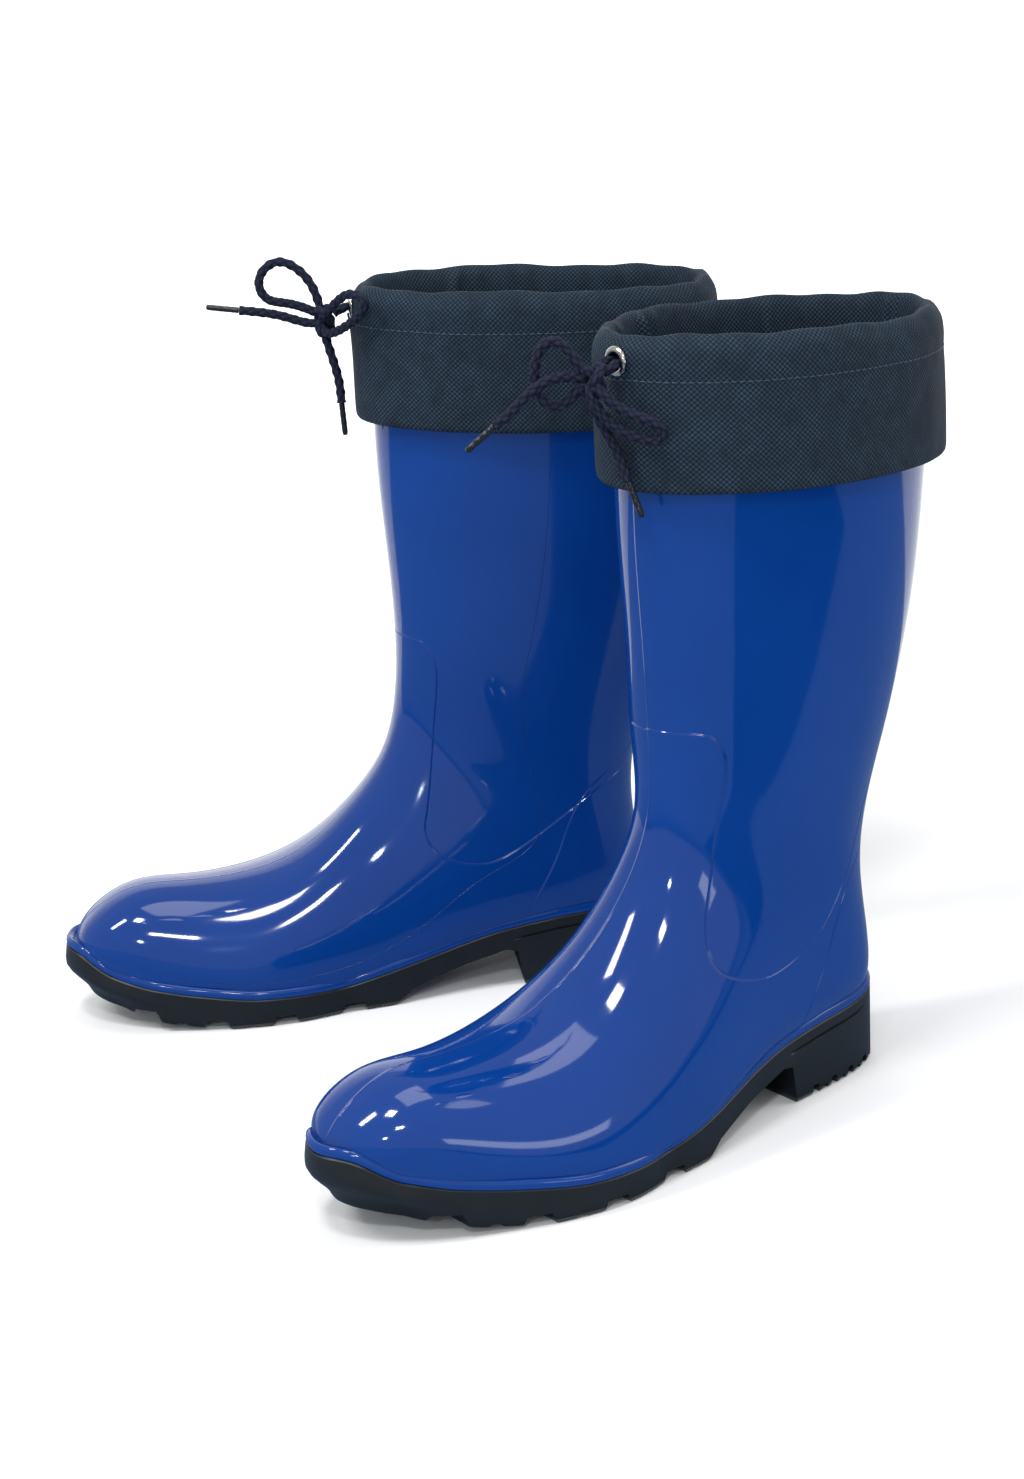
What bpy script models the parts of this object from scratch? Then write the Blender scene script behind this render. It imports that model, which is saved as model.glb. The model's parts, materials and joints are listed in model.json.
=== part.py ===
# A pair of tall rubber deck boots with fabric drawstring collars.
# Metres, +Z up. Toes point to -Y, the left boot stands at +X and the right boot at -X.
# Both boots share one design, drawn as a left boot in its own frame: X runs to the outer
# side of the foot, and the origin is on the floor. The right boot is mirrored and turned.
import math

import bmesh
import bpy
import numpy as np
from mathutils import Vector
from mathutils.bvhtree import BVHTree

MM = 0.001
COLLECTION_NAME = "deck_boots"
CUTTERS_NAME = "cutters"
GAP = 0.3                      # millimetres between pieces that touch

# How the boots stand: turn about Z in degrees, and place of the right boot's own origin
TURN = {"left": 12.0, "right": -20.0}
STAND = {"left": (0, 0), "right": (-196, -20)}

# Sections of the boot from toe tip to shaft top, in millimetres:
# front or top point (y, z), back or bottom point (y, z), outer and inner half width,
# share of the height where it is widest, roundness of the upper and of the lower half,
# and how far the foot's curved centre line lies to the outer side
SECTIONS = (
    ((-188, 37), (-178, 33.5), 8, 9, 0.51, 2.1, 2.3, -16),
    ((-178.5, 51), (-172, 26.5), 23.5, 23.5, 0.42, 2.3, 2.7, -15),
    ((-156, 62.5), (-154, 17.5), 35.5, 33, 0.30, 2.2, 3.1, -13.5),
    ((-126, 62.5), (-129, 11.5), 45, 38.5, 0.25, 2.0, 3.7, -11.5),
    ((-84, 68), (-90, 8.5), 55.5, 44, 0.19, 2.1, 3.9, -8.5),
    ((-52, 89.5), (-32, 14), 50, 39, 0.18, 2.2, 3.8, -4.5),
    ((-31.5, 115.5), (30, 23.5), 40, 36, 0.34, 2.2, 3.1, -2),
    ((-23, 144), (88, 30), 33.5, 34.5, 0.41, 2.2, 2.7, 1),
    ((-21, 175), (90, 87), 37, 37.5, 0.49, 2.1, 2.2, 0),
    ((-22, 211), (104, 150), 41.5, 41.5, 0.49, 2.0, 2.2, 0),
    ((-24, 251), (123.5, 215), 45.5, 45.5, 0.49, 2.0, 2.1, 0),
    ((-24, 291), (133.5, 285), 48, 48, 0.50, 2.0, 2.0, 0),
)
RINGS = 23
AROUND = 20
UPPER_WALL = 2.5
LINING_GAP = 1.2               # upper to lining, clear of both curved walls
LINING_WALL = 0.8

# Outsole: line where the blue upper meets it (y, z), walls, heel and tread
RIM_LINE = ((-190, 43), (-182, 38), (-163, 29), (-135, 19.5), (-103, 14), (-60, 13),
            (-20, 21), (15, 29), (47, 33), (95, 33))
TOE_CENTRE = -148              # centres of the round ends of the foot's outline
HEEL_CENTRE = 56
SOLE_GAP = 0.4
SOLE_WALL = 2.6
RIM_SEARCHES = 3
TOE_SPRING = ((-200, 17), (-170, 10), (-145, 4), (-118, 0))   # height of the tread's edge
TOE_TUCK = 9                   # how far the sole's edge curves under the toe
SOLE_SIDE = 75                 # half width of the cutters under the sole
ARCH = ((-38, -1), (-27, 7), (-4, 14), (20, 19.5), (26, 18), (29, -1))
TREAD_DEPTH = 4.5
FOREFOOT_GROOVES = (-155, -122, -89, -56)
HEEL_GROOVES = (41, 53, 65, 77)
GROOVE_WIDTH = 12.0
HEEL_GROOVE_WIDTH = 4.5

# Insole
INSOLE_INSET = 9.5
INSOLE_LIFT = 6.6              # underside above the upper's outer underside
INSOLE_THICKNESS = 3.5
INSOLE_CENTRES = (-140, 46)
INSOLE_LEVEL = 9               # height above the underside where the outline is taken
INSOLE_SECTION = ((0, 0), (0.55, 0), (1, 0), (1, 1), (0.55, 1), (0, 1))   # (reach, top)

# Collar: heights at its front and back, and cloth layers by distance out from the shaft
COLLAR_BOTTOM = (280, 273)
COLLAR_TOP = (341, 335)
COLLAR_AROUND = 36
OUTER_CLOTH = ((1.2, 0.00), (5.0, -0.01), (6.2, 0.04), (6.8, 0.50), (6.8, 0.90), (5.4, 1.00),
               (-2.6, 1.00), (-2.6, 0.985), (5.2, 0.95), (5.2, 0.50), (4.8, 0.14), (1.2, 0.10))
INNER_CLOTH = ((-3.2, 0.22), (-3.2, 0.955), (-4.3, 0.955), (-4.3, 0.22))

# Drawstring: cord, eyelet at the collar's front, and the bow's routes from the eyelet's
# centre (outward to the foot's outer side, back, up) in millimetres
CORD = 4.5
CORD_STEP = 10.5               # distance between a cord's points
EYELET_HEIGHT = 331
EYELET_OUT = 7.2
EYELET_RADII = (3.4, 6.2)
EYELET_WALL = 0.7
EYELET_DEPTH = 2.6
WASHER_RADII = (4.4, 5.6)
WASHER_DEPTHS = (2.9, 3.4)
CHANNEL_OUT = -0.1
CHANNEL_DROP = 10
CHANNEL_START = 14             # degrees each side of the front where the channel cord ends
KNOT_SIZE = (6.5, 5.5, 7.0)
KNOT_PLACE = {"left": (0, -12.5, -5), "right": (0.5, -12.5, -5)}
AGLET_RADIUS = 1.4
AGLET_LENGTH = 15
BOW = {
    "left": {
        "strand_a": ((-2.4, -2.2, 0.5), (-2.6, -4.5, -0.4), (-2.2, -6.0, -1.4)),
        "strand_b": ((2.4, -2.2, -0.5), (2.8, -4.5, -1.4), (2.4, -6.0, -2.4)),
        "loop_a": ((-3.5, -18, 2), (-7, -21, 9), (-11, -25, 10), (-14, -28, 5), (-15, -29, -3),
                   (-14, -28, -11), (-10, -24, -15), (-6, -20, -13), (-4.5, -18.5, -10)),
        "loop_b": ((4, -16, -13), (7, -12, -20), (12, -8, -25), (18, -3, -28), (24, 1, -28),
                   (25, 0, -23), (19, -5, -19), (12, -10, -15), (7.5, -14, -9)),
        "tail_a": ((-4.5, -17.7, -4), (-7, -24.5, -3.5), (-9.5, -31, -5.5), (-13, -36, -10),
                   (-17.5, -40, -16), (-22, -44.5, -21)),
        "tail_b": ((0, -13.5, -14), (2, -10, -23), (4, -6.5, -31), (6, -4.5, -38),
                   (9, -3.5, -46)),
    },
    "right": {
        "strand_a": ((-2.4, -2.2, 0.5), (-2.8, -4.5, -0.4), (-2.4, -6.0, -1.4)),
        "strand_b": ((2.4, -2.2, -0.5), (2.6, -4.5, -1.4), (2.2, -6.0, -2.4)),
        "loop_a": ((0, -15, 4), (1, -18, 12), (2, -24, 19), (3, -32, 22), (4, -39, 18),
                   (4, -41, 11), (4, -37, 5), (3, -29, 3), (2, -20.5, 1)),
        "loop_b": ((-5, -13, -12), (-13, -8, -9), (-21, -3, -5), (-28, 3, 1), (-30, 4, 7),
                   (-24, -1, 9), (-17, -6, 6), (-10, -11, 1), (-7.5, -12.5, -2.5)),
        "tail_a": ((1, -18.5, -7), (2, -25, -5), (3, -34, -2), (4, -44, 0), (5, -51, 1)),
        "tail_b": ((0, -13, -14), (-1, -10, -24), (-1, -8, -34), (-1, -7.5, -44)),
    },
}

# Colours as linear values, with roughness and metallic value
LOOKS = {
    "blue_pvc": ((0.004, 0.045, 0.35), 0.08, 0.0),
    "black_pvc": ((0.010, 0.013, 0.016), 0.45, 0.0),
    "navy_cloth": ((0.020, 0.035, 0.055), 0.85, 0.0),
    "navy_braid": ((0.010, 0.014, 0.030), 0.90, 0.0),
    "aglet": ((0.015, 0.016, 0.020), 0.25, 0.0),
    "nickel": ((0.72, 0.70, 0.66), 0.20, 1.0),
    "knit_lining": ((0.10, 0.11, 0.12), 0.95, 0.0),
    "insole_felt": ((0.12, 0.13, 0.14), 0.95, 0.0),
}


# Helpers for curves and sections

def natural_spline(values):
    """The smooth curve through values at 0, 1, 2 and so on, as a function of the place."""
    count = len(values)
    system = np.eye(count)
    right = np.zeros(count)
    for i in range(1, count - 1):
        system[i, i - 1:i + 2] = 1, 4, 1
        right[i] = 6 * (values[i + 1] - 2 * values[i] + values[i - 1])
    bend = np.linalg.solve(system, right)

    def at(place):
        i = max(0, min(int(place), count - 2))
        t = place - i
        s = 1 - t
        cubic = ((s ** 3 - s) * bend[i] + (t ** 3 - t) * bend[i + 1]) / 6
        return s * values[i] + t * values[i + 1] + cubic

    return at


def height_at(line, y):
    """Height of a line of (y, z) points at y."""
    return float(np.interp(y, [p[0] for p in line], [p[1] for p in line]))


def signed_power(value, power):
    return math.copysign(abs(value) ** power, value)


def section_tracks():
    """A smooth curve along the boot for each of a section's numbers."""
    flat = [(*front, *back, *rest) for front, back, *rest in SECTIONS]
    return [natural_spline(track) for track in zip(*flat)]


def boot_grid():
    """Rows of points round the boot's outside, from toe tip to shaft top."""
    tracks = section_tracks()
    grid = np.zeros((RINGS, AROUND, 3))
    for r in range(RINGS):
        place = r * (len(SECTIONS) - 1) / (RINGS - 1)
        fy, fz, by, bz, outer, inner, share, top, bottom, middle = (t(place) for t in tracks)
        my, mz = by + (fy - by) * share, bz + (fz - bz) * share
        for a in range(AROUND):
            angle = math.tau * a / AROUND
            rise = math.cos(angle)
            power = 2 / (top if rise >= 0 else bottom)
            side = signed_power(math.sin(angle), power)
            reach = abs(rise) ** power
            ey, ez = (fy, fz) if rise >= 0 else (by, bz)
            width = outer if side >= 0 else inner
            grid[r, a] = middle + width * side, my + reach * (ey - my), mz + reach * (ez - mz)
    return grid


def outward(grid):
    """Outward direction at each point of the grid."""
    along = np.gradient(grid, axis=0)
    round_it = np.roll(grid, -1, axis=1) - np.roll(grid, 1, axis=1)
    out = np.cross(round_it, along)
    return out / np.linalg.norm(out, axis=2, keepdims=True)


def moved_in(grid, distance):
    """The grid moved inward, without its narrow first row, which would cross itself."""
    return (grid - outward(grid) * distance)[1:]


def grid_faces(rows, around, first=0):
    """Quads between neighbouring rows of a grid whose rows are closed rings."""
    faces = []
    for r in range(rows - 1):
        for a in range(around):
            b = (a + 1) % around
            near, far = first + r * around, first + (r + 1) * around
            faces.append((near + a, near + b, far + b, far + a))
    return faces


def closed_toe(grid):
    """Points and faces of a grid, closed at its first row by a shallow cone."""
    rows, around = grid.shape[:2]
    points = [tuple(p) for p in grid.reshape(-1, 3)]
    tip = grid[0].mean(axis=0) + (0, -1.0, 0)
    points.append(tuple(tip))
    apex = len(points) - 1
    faces = grid_faces(rows, around)
    faces += [(apex, (a + 1) % around, a) for a in range(around)]
    return points, faces


def shell(outside, inside):
    """Points and faces of a wall between two grids, closed at the toe and along the top."""
    points, faces = closed_toe(outside)
    more, other = closed_toe(inside)
    first, around = len(points), outside.shape[1]
    outer_top = (outside.shape[0] - 1) * around
    inner_top = first + (inside.shape[0] - 1) * around
    faces += [tuple(first + i for i in reversed(face)) for face in other]
    for a in range(around):
        b = (a + 1) % around
        faces.append((outer_top + a, outer_top + b, inner_top + b, inner_top + a))
    return points + more, faces


def shaft_ring(distance, height_front, height_back, around):
    """Points round the shaft's top section, a distance outside it, at a sloping height."""
    (fy, _), (by, _), outer, inner, *_, centre = SECTIONS[-1]
    points = []
    middle, half = (fy + by) / 2, (by - fy) / 2
    for a in range(around):
        angle = math.tau * a / around
        side, back = math.sin(angle), -math.cos(angle)
        width = outer if side >= 0 else inner
        normal = Vector((side / width, back / half, 0)).normalized()
        share = (back + 1) / 2
        points.append((centre + width * side + normal.x * distance,
                       middle + half * back + normal.y * distance,
                       height_front + (height_back - height_front) * share))
    return points


def smooth_route(points, step):
    """Points at even steps along a smooth curve through the route's own points."""
    tracks = [natural_spline(track) for track in zip(*points)]
    fine = [Vector([t(i / 20) for t in tracks]) for i in range(20 * (len(points) - 1) + 1)]
    lengths = np.cumsum([0] + [(b - a).length for a, b in zip(fine, fine[1:])])
    count = max(3, round(lengths[-1] / step) + 1)
    wanted = np.linspace(0, lengths[-1], count)
    return [tuple(np.interp(w, lengths, [p[i] for p in fine]) for i in range(3))
            for w in wanted]


# Helpers for objects

def remove_old_objects():
    for old in list(bpy.data.objects):
        bpy.data.objects.remove(old, do_unlink=True)


def make_collection(name, cutters=False):
    collection = bpy.data.collections.new(name)
    collection.hide_render = cutters
    bpy.context.scene.collection.children.link(collection)
    return collection


def make_material(name):
    colour, roughness, metallic = LOOKS[name]
    material = bpy.data.materials.new(name)
    material.use_nodes = True
    shader = material.node_tree.nodes["Principled BSDF"]
    shader.inputs["Base Color"].default_value = (*colour, 1)
    shader.inputs["Roughness"].default_value = roughness
    shader.inputs["Metallic"].default_value = metallic
    material.diffuse_color = (*colour, 1)
    return material


class Boot:
    """One boot of the pair: where its pieces go, and the sign of its outer side."""

    def __init__(self, side, parts, cutters, looks):
        self.side = side
        self.sign = 1 if side == "left" else -1
        self.parts = parts
        self.cutters = cutters
        self.looks = looks
        x, y = STAND[side]
        self.frame = self.empty(f"{side}_boot_frame", (0, 0, 0), None)
        self.frame.location = (x * MM, y * MM, 0)
        self.frame.rotation_euler.z = math.radians(TURN[side])

    def point(self, p):
        return Vector((p[0] * self.sign, p[1], p[2])) * MM

    def empty(self, name, place, parent):
        holder = bpy.data.objects.new(name, None)
        holder.empty_display_size = 20 * MM
        self.parts.objects.link(holder)
        holder.parent = parent
        holder.location = self.point(place)
        return holder

    def mesh(self, name, points, faces, look, parent=None, origin=(0, 0, 0), cutter=False):
        """A mesh object from millimetre points in the left boot's frame."""
        base = self.point(origin)
        turned = [tuple(self.point(p) - base) for p in points]
        if self.sign < 0:
            faces = [tuple(reversed(face)) for face in faces]
        data = bpy.data.meshes.new(f"{self.side}_{name}")
        data.from_pydata(turned, [], faces)
        data.update()
        obj = bpy.data.objects.new(f"{self.side}_{name}", data)
        (self.cutters if cutter else self.parts).objects.link(obj)
        obj.parent = parent or self.frame
        if parent is None or parent == self.frame:
            obj.location = base
        if cutter:
            obj.hide_render = True
            obj.display_type = "WIRE"
        else:
            data.materials.append(self.looks[look])
        return obj

    def cut(self, obj, cutter):
        """Cuts the object by another one."""
        step = obj.modifiers.new("cut", "BOOLEAN")
        step.operation = "DIFFERENCE"
        step.solver = "EXACT"
        step.object = cutter

    def box(self, name, low, high):
        """A box cutter between two corners in the boot's frame."""
        x0, y0, z0 = low
        x1, y1, z1 = high
        corners = [(x, y, z) for x in (x0, x1) for y in (y0, y1) for z in (z0, z1)]
        faces = [(0, 1, 3, 2), (4, 6, 7, 5), (0, 4, 5, 1), (2, 3, 7, 6), (0, 2, 6, 4), (1, 5, 7, 3)]
        return self.mesh(name, corners, faces, None, cutter=True)

    def tube(self, name, points, look, parent, origin, cyclic=False):
        """A cord of round section through millimetre points."""
        base = self.point(origin)
        curve = bpy.data.curves.new(f"{self.side}_{name}", "CURVE")
        curve.dimensions = "3D"
        curve.bevel_depth = CORD / 2 * MM
        curve.bevel_resolution = 2
        curve.use_fill_caps = True
        line = curve.splines.new("POLY")
        line.points.add(len(points) - 1)
        for target, p in zip(line.points, points):
            target.co = (*(self.point(p) - base), 1)
        line.use_cyclic_u = cyclic
        obj = bpy.data.objects.new(f"{self.side}_{name}", curve)
        self.parts.objects.link(obj)
        obj.parent = parent
        curve.materials.append(self.looks[look])
        return obj


# The foot's outline for the sole and the insole

def centre_line(y):
    """Sideways place of the foot's centre line at y."""
    return height_at(sorted(((f[0] + b[0]) / 2, rest[-1]) for f, b, *rest in SECTIONS[:8]), y)


def outline_stations(toe, heel, sides=9, ends=6):
    """Pairs of a point on the foot's centre line and a direction, once round the foot."""
    half = []
    for i in range(ends):
        angle = math.radians(90 * i / ends)
        half.append((toe, (math.sin(angle), -math.cos(angle))))
    for i in range(sides):
        half.append((toe + (heel - toe) * i / (sides - 1), (1.0, 0.0)))
    for i in range(1, ends + 1):
        angle = math.radians(90 * i / ends)
        half.append((heel, (math.cos(angle), math.sin(angle))))
    mirrored = [(y, (-dx, dy)) for y, (dx, dy) in reversed(half[1:-1])]
    return half + mirrored


class FootSurface:
    """The outside of the upper, asked where it is by rays towards the foot's middle."""

    REACH = 300

    def __init__(self, grid):
        points, faces = closed_toe(grid)
        self.tree = BVHTree.FromPolygons([Vector(p) for p in points], faces)

    def toward(self, pivot, direction):
        """The outermost point in a direction from the pivot."""
        start = pivot + direction * self.REACH
        hit = self.tree.ray_cast(start, -direction)[0]
        return hit if hit is not None else pivot.copy()

    def underside(self, x, y):
        hit = self.tree.ray_cast(Vector((x, y, -50)), Vector((0, 0, 1)))[0]
        return hit.z


def sole_profile(surface, y, direction):
    """The sole's outside in one direction, from inside the foot to below its centre line."""
    flat = Vector((*direction, 0))
    centre = centre_line(y)
    floor = surface.underside(centre, y)
    height = floor
    for _ in range(RIM_SEARCHES):
        rim = surface.toward(Vector((centre, y, height)), flat)
        height = height_at(RIM_LINE, rim.y)
    levels = [height + (floor - height) * share for share in (0, 0.25, 0.5, 0.75)]
    hits = [surface.toward(Vector((centre, y, level)), flat) for level in levels]
    reach = max((hit.xy - Vector((centre, y))).length for hit in hits) + SOLE_GAP + SOLE_WALL
    tuck = TOE_TUCK * max(0.0, -direction[1])

    def outside(distance, level):
        return (centre + flat.x * distance, y + flat.y * distance, level)

    edge_y = y + flat.y * (reach - tuck)
    edge = height_at(TOE_SPRING, edge_y)
    points = [(centre, y, height_at(RIM_LINE, y)), outside(reach, height),
              outside(reach, max(edge + 2, (height + edge) / 2)), outside(reach - tuck, edge)]
    for share in (0.78, 0.45, 0):
        p = outside((reach - tuck) * share, 0)
        points.append((p[0], p[1], height_at(TOE_SPRING, p[1])))
    return points


def outsole_mesh(surface):
    """The sole block before the foot, the arch and the tread are cut from it."""
    rows = [sole_profile(surface, y, direction)
            for y, direction in outline_stations(TOE_CENTRE, HEEL_CENTRE)]
    points = [p for row in rows for p in row]
    width, count = len(rows[0]), len(rows)
    faces = []
    for i in range(count):
        j = (i + 1) % count
        for k in range(width - 1):
            faces.append((i * width + k, i * width + k + 1, j * width + k + 1, j * width + k))
    return points, faces


def weld(obj):
    """Makes one point of points that meet, and drops faces that fold flat."""
    shape = bmesh.new()
    shape.from_mesh(obj.data)
    bmesh.ops.remove_doubles(shape, verts=shape.verts, dist=0.05 * MM)
    bmesh.ops.dissolve_degenerate(shape, edges=shape.edges, dist=0.05 * MM)
    bmesh.ops.triangulate(shape, faces=shape.faces)
    bmesh.ops.recalc_face_normals(shape, faces=shape.faces)
    shape.to_mesh(obj.data)
    shape.free()


# The pieces of a boot

def make_upper(boot, grid):
    points, faces = shell(grid, moved_in(grid, UPPER_WALL))
    upper = boot.mesh("upper", points, faces, "blue_pvc")
    weld(upper)
    upper.data.shade_smooth()


def make_lining(boot, grid):
    depth = UPPER_WALL + LINING_GAP
    points, faces = shell(moved_in(grid, depth), moved_in(grid, depth + LINING_WALL))
    lining = boot.mesh("lining", points, faces, "knit_lining")
    weld(lining)
    lining.data.shade_smooth()


def make_outsole(boot, grid, surface):
    points, faces = outsole_mesh(surface)
    sole = boot.mesh("outsole", points, faces, "black_pvc")
    weld(sole)
    foot = grid + outward(grid) * SOLE_GAP
    points, faces = closed_toe(foot)
    faces.append(tuple(range((RINGS - 1) * AROUND, RINGS * AROUND)))
    foot_cutter = boot.mesh("foot_cutter", points, faces, None, cutter=True)
    weld(foot_cutter)
    boot.cut(sole, foot_cutter)
    n = len(ARCH)
    points = [(x, y, z) for x in (-SOLE_SIDE, SOLE_SIDE) for y, z in ARCH]
    faces = [tuple(range(n)), tuple(range(2 * n - 1, n - 1, -1))]
    faces += [(n + i, n + (i + 1) % n, (i + 1) % n, i) for i in range(n)]
    arch = boot.mesh("arch_cutter", points, faces, None, cutter=True)
    weld(arch)
    boot.cut(sole, arch)
    grooves = [(y, GROOVE_WIDTH) for y in FOREFOOT_GROOVES]
    grooves += [(y, HEEL_GROOVE_WIDTH) for y in HEEL_GROOVES]
    for i, (y, width) in enumerate(grooves):
        ceiling = height_at(TOE_SPRING, y) + TREAD_DEPTH
        cutter = boot.box(f"groove_cutter_{i}", (-SOLE_SIDE, y - width / 2, -2),
                          (SOLE_SIDE, y + width / 2, ceiling))
        weld(cutter)
        boot.cut(sole, cutter)


def make_insole(boot, surface):
    """The loose insole, which lifts at its heel about its front edge."""
    toe, heel = INSOLE_CENTRES
    stations = outline_stations(toe, heel, sides=7, ends=4)
    rows = []
    for y, direction in stations:
        flat = Vector((*direction, 0))
        centre = centre_line(y)
        middle = Vector((centre, y, surface.underside(centre, y) + INSOLE_LEVEL))
        reach = (surface.toward(middle, flat) - middle).length - INSOLE_INSET
        row = []
        for share, top in INSOLE_SECTION:
            x, py = centre + flat.x * reach * share, y + flat.y * reach * share
            height = surface.underside(x, py) + INSOLE_LIFT + top * INSOLE_THICKNESS
            row.append((x, py, height))
        rows.append(row)
    width = len(rows[0])
    points = [p for row in rows for p in row]
    faces = []
    for i in range(len(rows)):
        j = (i + 1) % len(rows)
        for k in range(width - 1):
            faces.append((i * width + k, i * width + k + 1, j * width + k + 1, j * width + k))
    front = rows[0][2]
    hinge = boot.empty(f"{boot.side}_insole_hinge", front, boot.frame)
    insole = boot.mesh("insole", points, faces, "insole_felt", hinge, front)
    weld(insole)


def cloth_ring(boot, name, profile):
    """A closed ring of cloth round the shaft, from its (distance, height share) profile."""
    rings = []
    for distance, share in profile:
        front = COLLAR_BOTTOM[0] + (COLLAR_TOP[0] - COLLAR_BOTTOM[0]) * share
        back = COLLAR_BOTTOM[1] + (COLLAR_TOP[1] - COLLAR_BOTTOM[1]) * share
        rings.append(shaft_ring(distance, front, back, COLLAR_AROUND))
    points = [p for ring in rings + rings[:1] for p in ring]
    faces = grid_faces(len(rings) + 1, COLLAR_AROUND)
    cloth = boot.mesh(name, points, faces, "navy_cloth")
    weld(cloth)
    return cloth


def eyelet_place():
    (front, _), *_, centre = SECTIONS[-1]
    return (centre, front - EYELET_OUT, EYELET_HEIGHT)


def turned_ring(boot, name, profile, look, place, steps=20):
    """A ring turned about the front-to-back axis, from its (radius, depth) profile."""
    points, faces = [], []
    count = len(profile)
    for s in range(steps):
        angle = math.tau * s / steps
        for radius, depth in profile:
            points.append((place[0] + radius * math.cos(angle), place[1] + depth,
                           place[2] + radius * math.sin(angle)))
    for s in range(steps):
        t = (s + 1) % steps
        for k in range(count):
            m = (k + 1) % count
            faces.append((s * count + k, s * count + m, t * count + m, t * count + k))
    ring = boot.mesh(name, points, faces, look, origin=(0, 0, 0))
    weld(ring)
    return ring


def make_collar(boot):
    outer = cloth_ring(boot, "collar_outer", OUTER_CLOTH)
    cloth_ring(boot, "collar_inner", INNER_CLOTH)
    place = eyelet_place()
    hole, flange = EYELET_RADII
    barrel = hole + EYELET_WALL
    profile = ((hole, -0.3), (hole + 0.5, -0.9), (flange - 0.8, -0.9), (flange, 0.0),
               (barrel, 0.1), (barrel, EYELET_DEPTH), (hole, EYELET_DEPTH))
    turned_ring(boot, "eyelet", profile, "nickel", place)
    inner, rim = WASHER_RADII
    near, far = WASHER_DEPTHS
    washer = ((inner, near), (rim, near), (rim, far), (inner, far))
    turned_ring(boot, "eyelet_washer", washer, "nickel", place)
    boot.cut(outer, hole_cutter(boot, place, barrel + GAP))


def hole_cutter(boot, place, radius):
    """A round cutter along the front-to-back axis for the eyelet's barrel."""
    shape = bmesh.new()
    bmesh.ops.create_cone(shape, cap_ends=True, segments=20, radius1=radius, radius2=radius,
                          depth=10)
    points = [(place[0] + v.co.x, place[1] + v.co.z, place[2] + v.co.y) for v in shape.verts]
    faces = [tuple(v.index for v in face.verts) for face in shape.faces]
    shape.free()
    cutter = boot.mesh("eyelet_hole_cutter", points, faces, None, cutter=True)
    weld(cutter)
    return cutter


def make_channel_cord(boot):
    """The part of the drawstring that runs round inside the collar's channel."""
    front, back = (top - CHANNEL_DROP for top in COLLAR_TOP)
    ring = shaft_ring(CHANNEL_OUT, front, back, 360)
    route = ring[CHANNEL_START:360 - CHANNEL_START + 1:6]
    points = smooth_route(route, CORD_STEP)
    boot.tube("drawstring_channel", points, "navy_braid", boot.frame, (0, 0, 0))


def make_bow(boot):
    """Knot, loops, tails and aglets outside the eyelet, which pull out together."""
    eye = Vector(eyelet_place())
    holder = boot.empty(f"{boot.side}_drawstring", eye, boot.frame)
    width, depth, height = KNOT_SIZE
    place = eye + Vector(KNOT_PLACE[boot.side])
    shape = bmesh.new()
    bmesh.ops.create_uvsphere(shape, u_segments=12, v_segments=8, radius=1)
    points = [(place.x + v.co.x * width, place.y + v.co.y * depth, place.z + v.co.z * height)
              for v in shape.verts]
    faces = [tuple(v.index for v in face.verts) for face in shape.faces]
    shape.free()
    knot = boot.mesh("drawstring_knot", points, faces, "navy_braid", holder, eye)
    weld(knot)
    for name, route in BOW[boot.side].items():
        places = [tuple(eye + Vector(p)) for p in route]
        points = smooth_route(places, CORD_STEP if name[0] != "s" else CORD_STEP / 4)
        boot.tube(f"drawstring_{name}", points, "navy_braid", holder, eye)
        if name.startswith("tail"):
            make_aglet(boot, name.replace("tail", "aglet"), points, holder, eye)


def make_aglet(boot, name, route, holder, eye):
    """The plastic tip on a cord's end, in line with it."""
    end, before = Vector(route[-1]), Vector(route[-2])
    along = (end - before).normalized()
    start = end + along * GAP
    turn = along.to_track_quat("Z", "Y")
    shape = bmesh.new()
    bmesh.ops.create_cone(shape, cap_ends=True, segments=10, radius1=AGLET_RADIUS,
                          radius2=AGLET_RADIUS * 0.85, depth=AGLET_LENGTH)
    middle = start + along * AGLET_LENGTH / 2
    points = [tuple(turn @ v.co + middle) for v in shape.verts]
    faces = [tuple(v.index for v in face.verts) for face in shape.faces]
    shape.free()
    aglet = boot.mesh(name, points, faces, "aglet", holder, eye)
    weld(aglet)


def make_boot(side, parts, cutters, looks):
    boot = Boot(side, parts, cutters, looks)
    grid = boot_grid()
    surface = FootSurface(grid)
    make_upper(boot, grid)
    make_lining(boot, grid)
    make_outsole(boot, grid, surface)
    make_insole(boot, surface)
    make_collar(boot)
    make_channel_cord(boot)
    make_bow(boot)
    return boot


def centre_pair(boots):
    """Moves both boots so that the pair's box, without the loose cords, is centred."""
    bpy.context.view_layer.update()
    graph = bpy.context.evaluated_depsgraph_get()
    corners = []
    for obj in bpy.data.collections[COLLECTION_NAME].objects:
        if obj.type == "MESH" and "drawstring" not in obj.name and "aglet" not in obj.name:
            shape = obj.evaluated_get(graph)
            corners += [shape.matrix_world @ v.co for v in shape.data.vertices]
    low = [min(c[i] for c in corners) for i in range(3)]
    high = [max(c[i] for c in corners) for i in range(3)]
    shift = Vector((-(low[0] + high[0]) / 2, -(low[1] + high[1]) / 2, -low[2]))
    for boot in boots:
        boot.frame.location += shift


def main():
    remove_old_objects()
    parts = make_collection(COLLECTION_NAME)
    cutters = make_collection(CUTTERS_NAME, cutters=True)
    looks = {name: make_material(name) for name in LOOKS}
    boots = [make_boot(side, parts, cutters, looks) for side in ("left", "right")]
    centre_pair(boots)


main()
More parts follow.
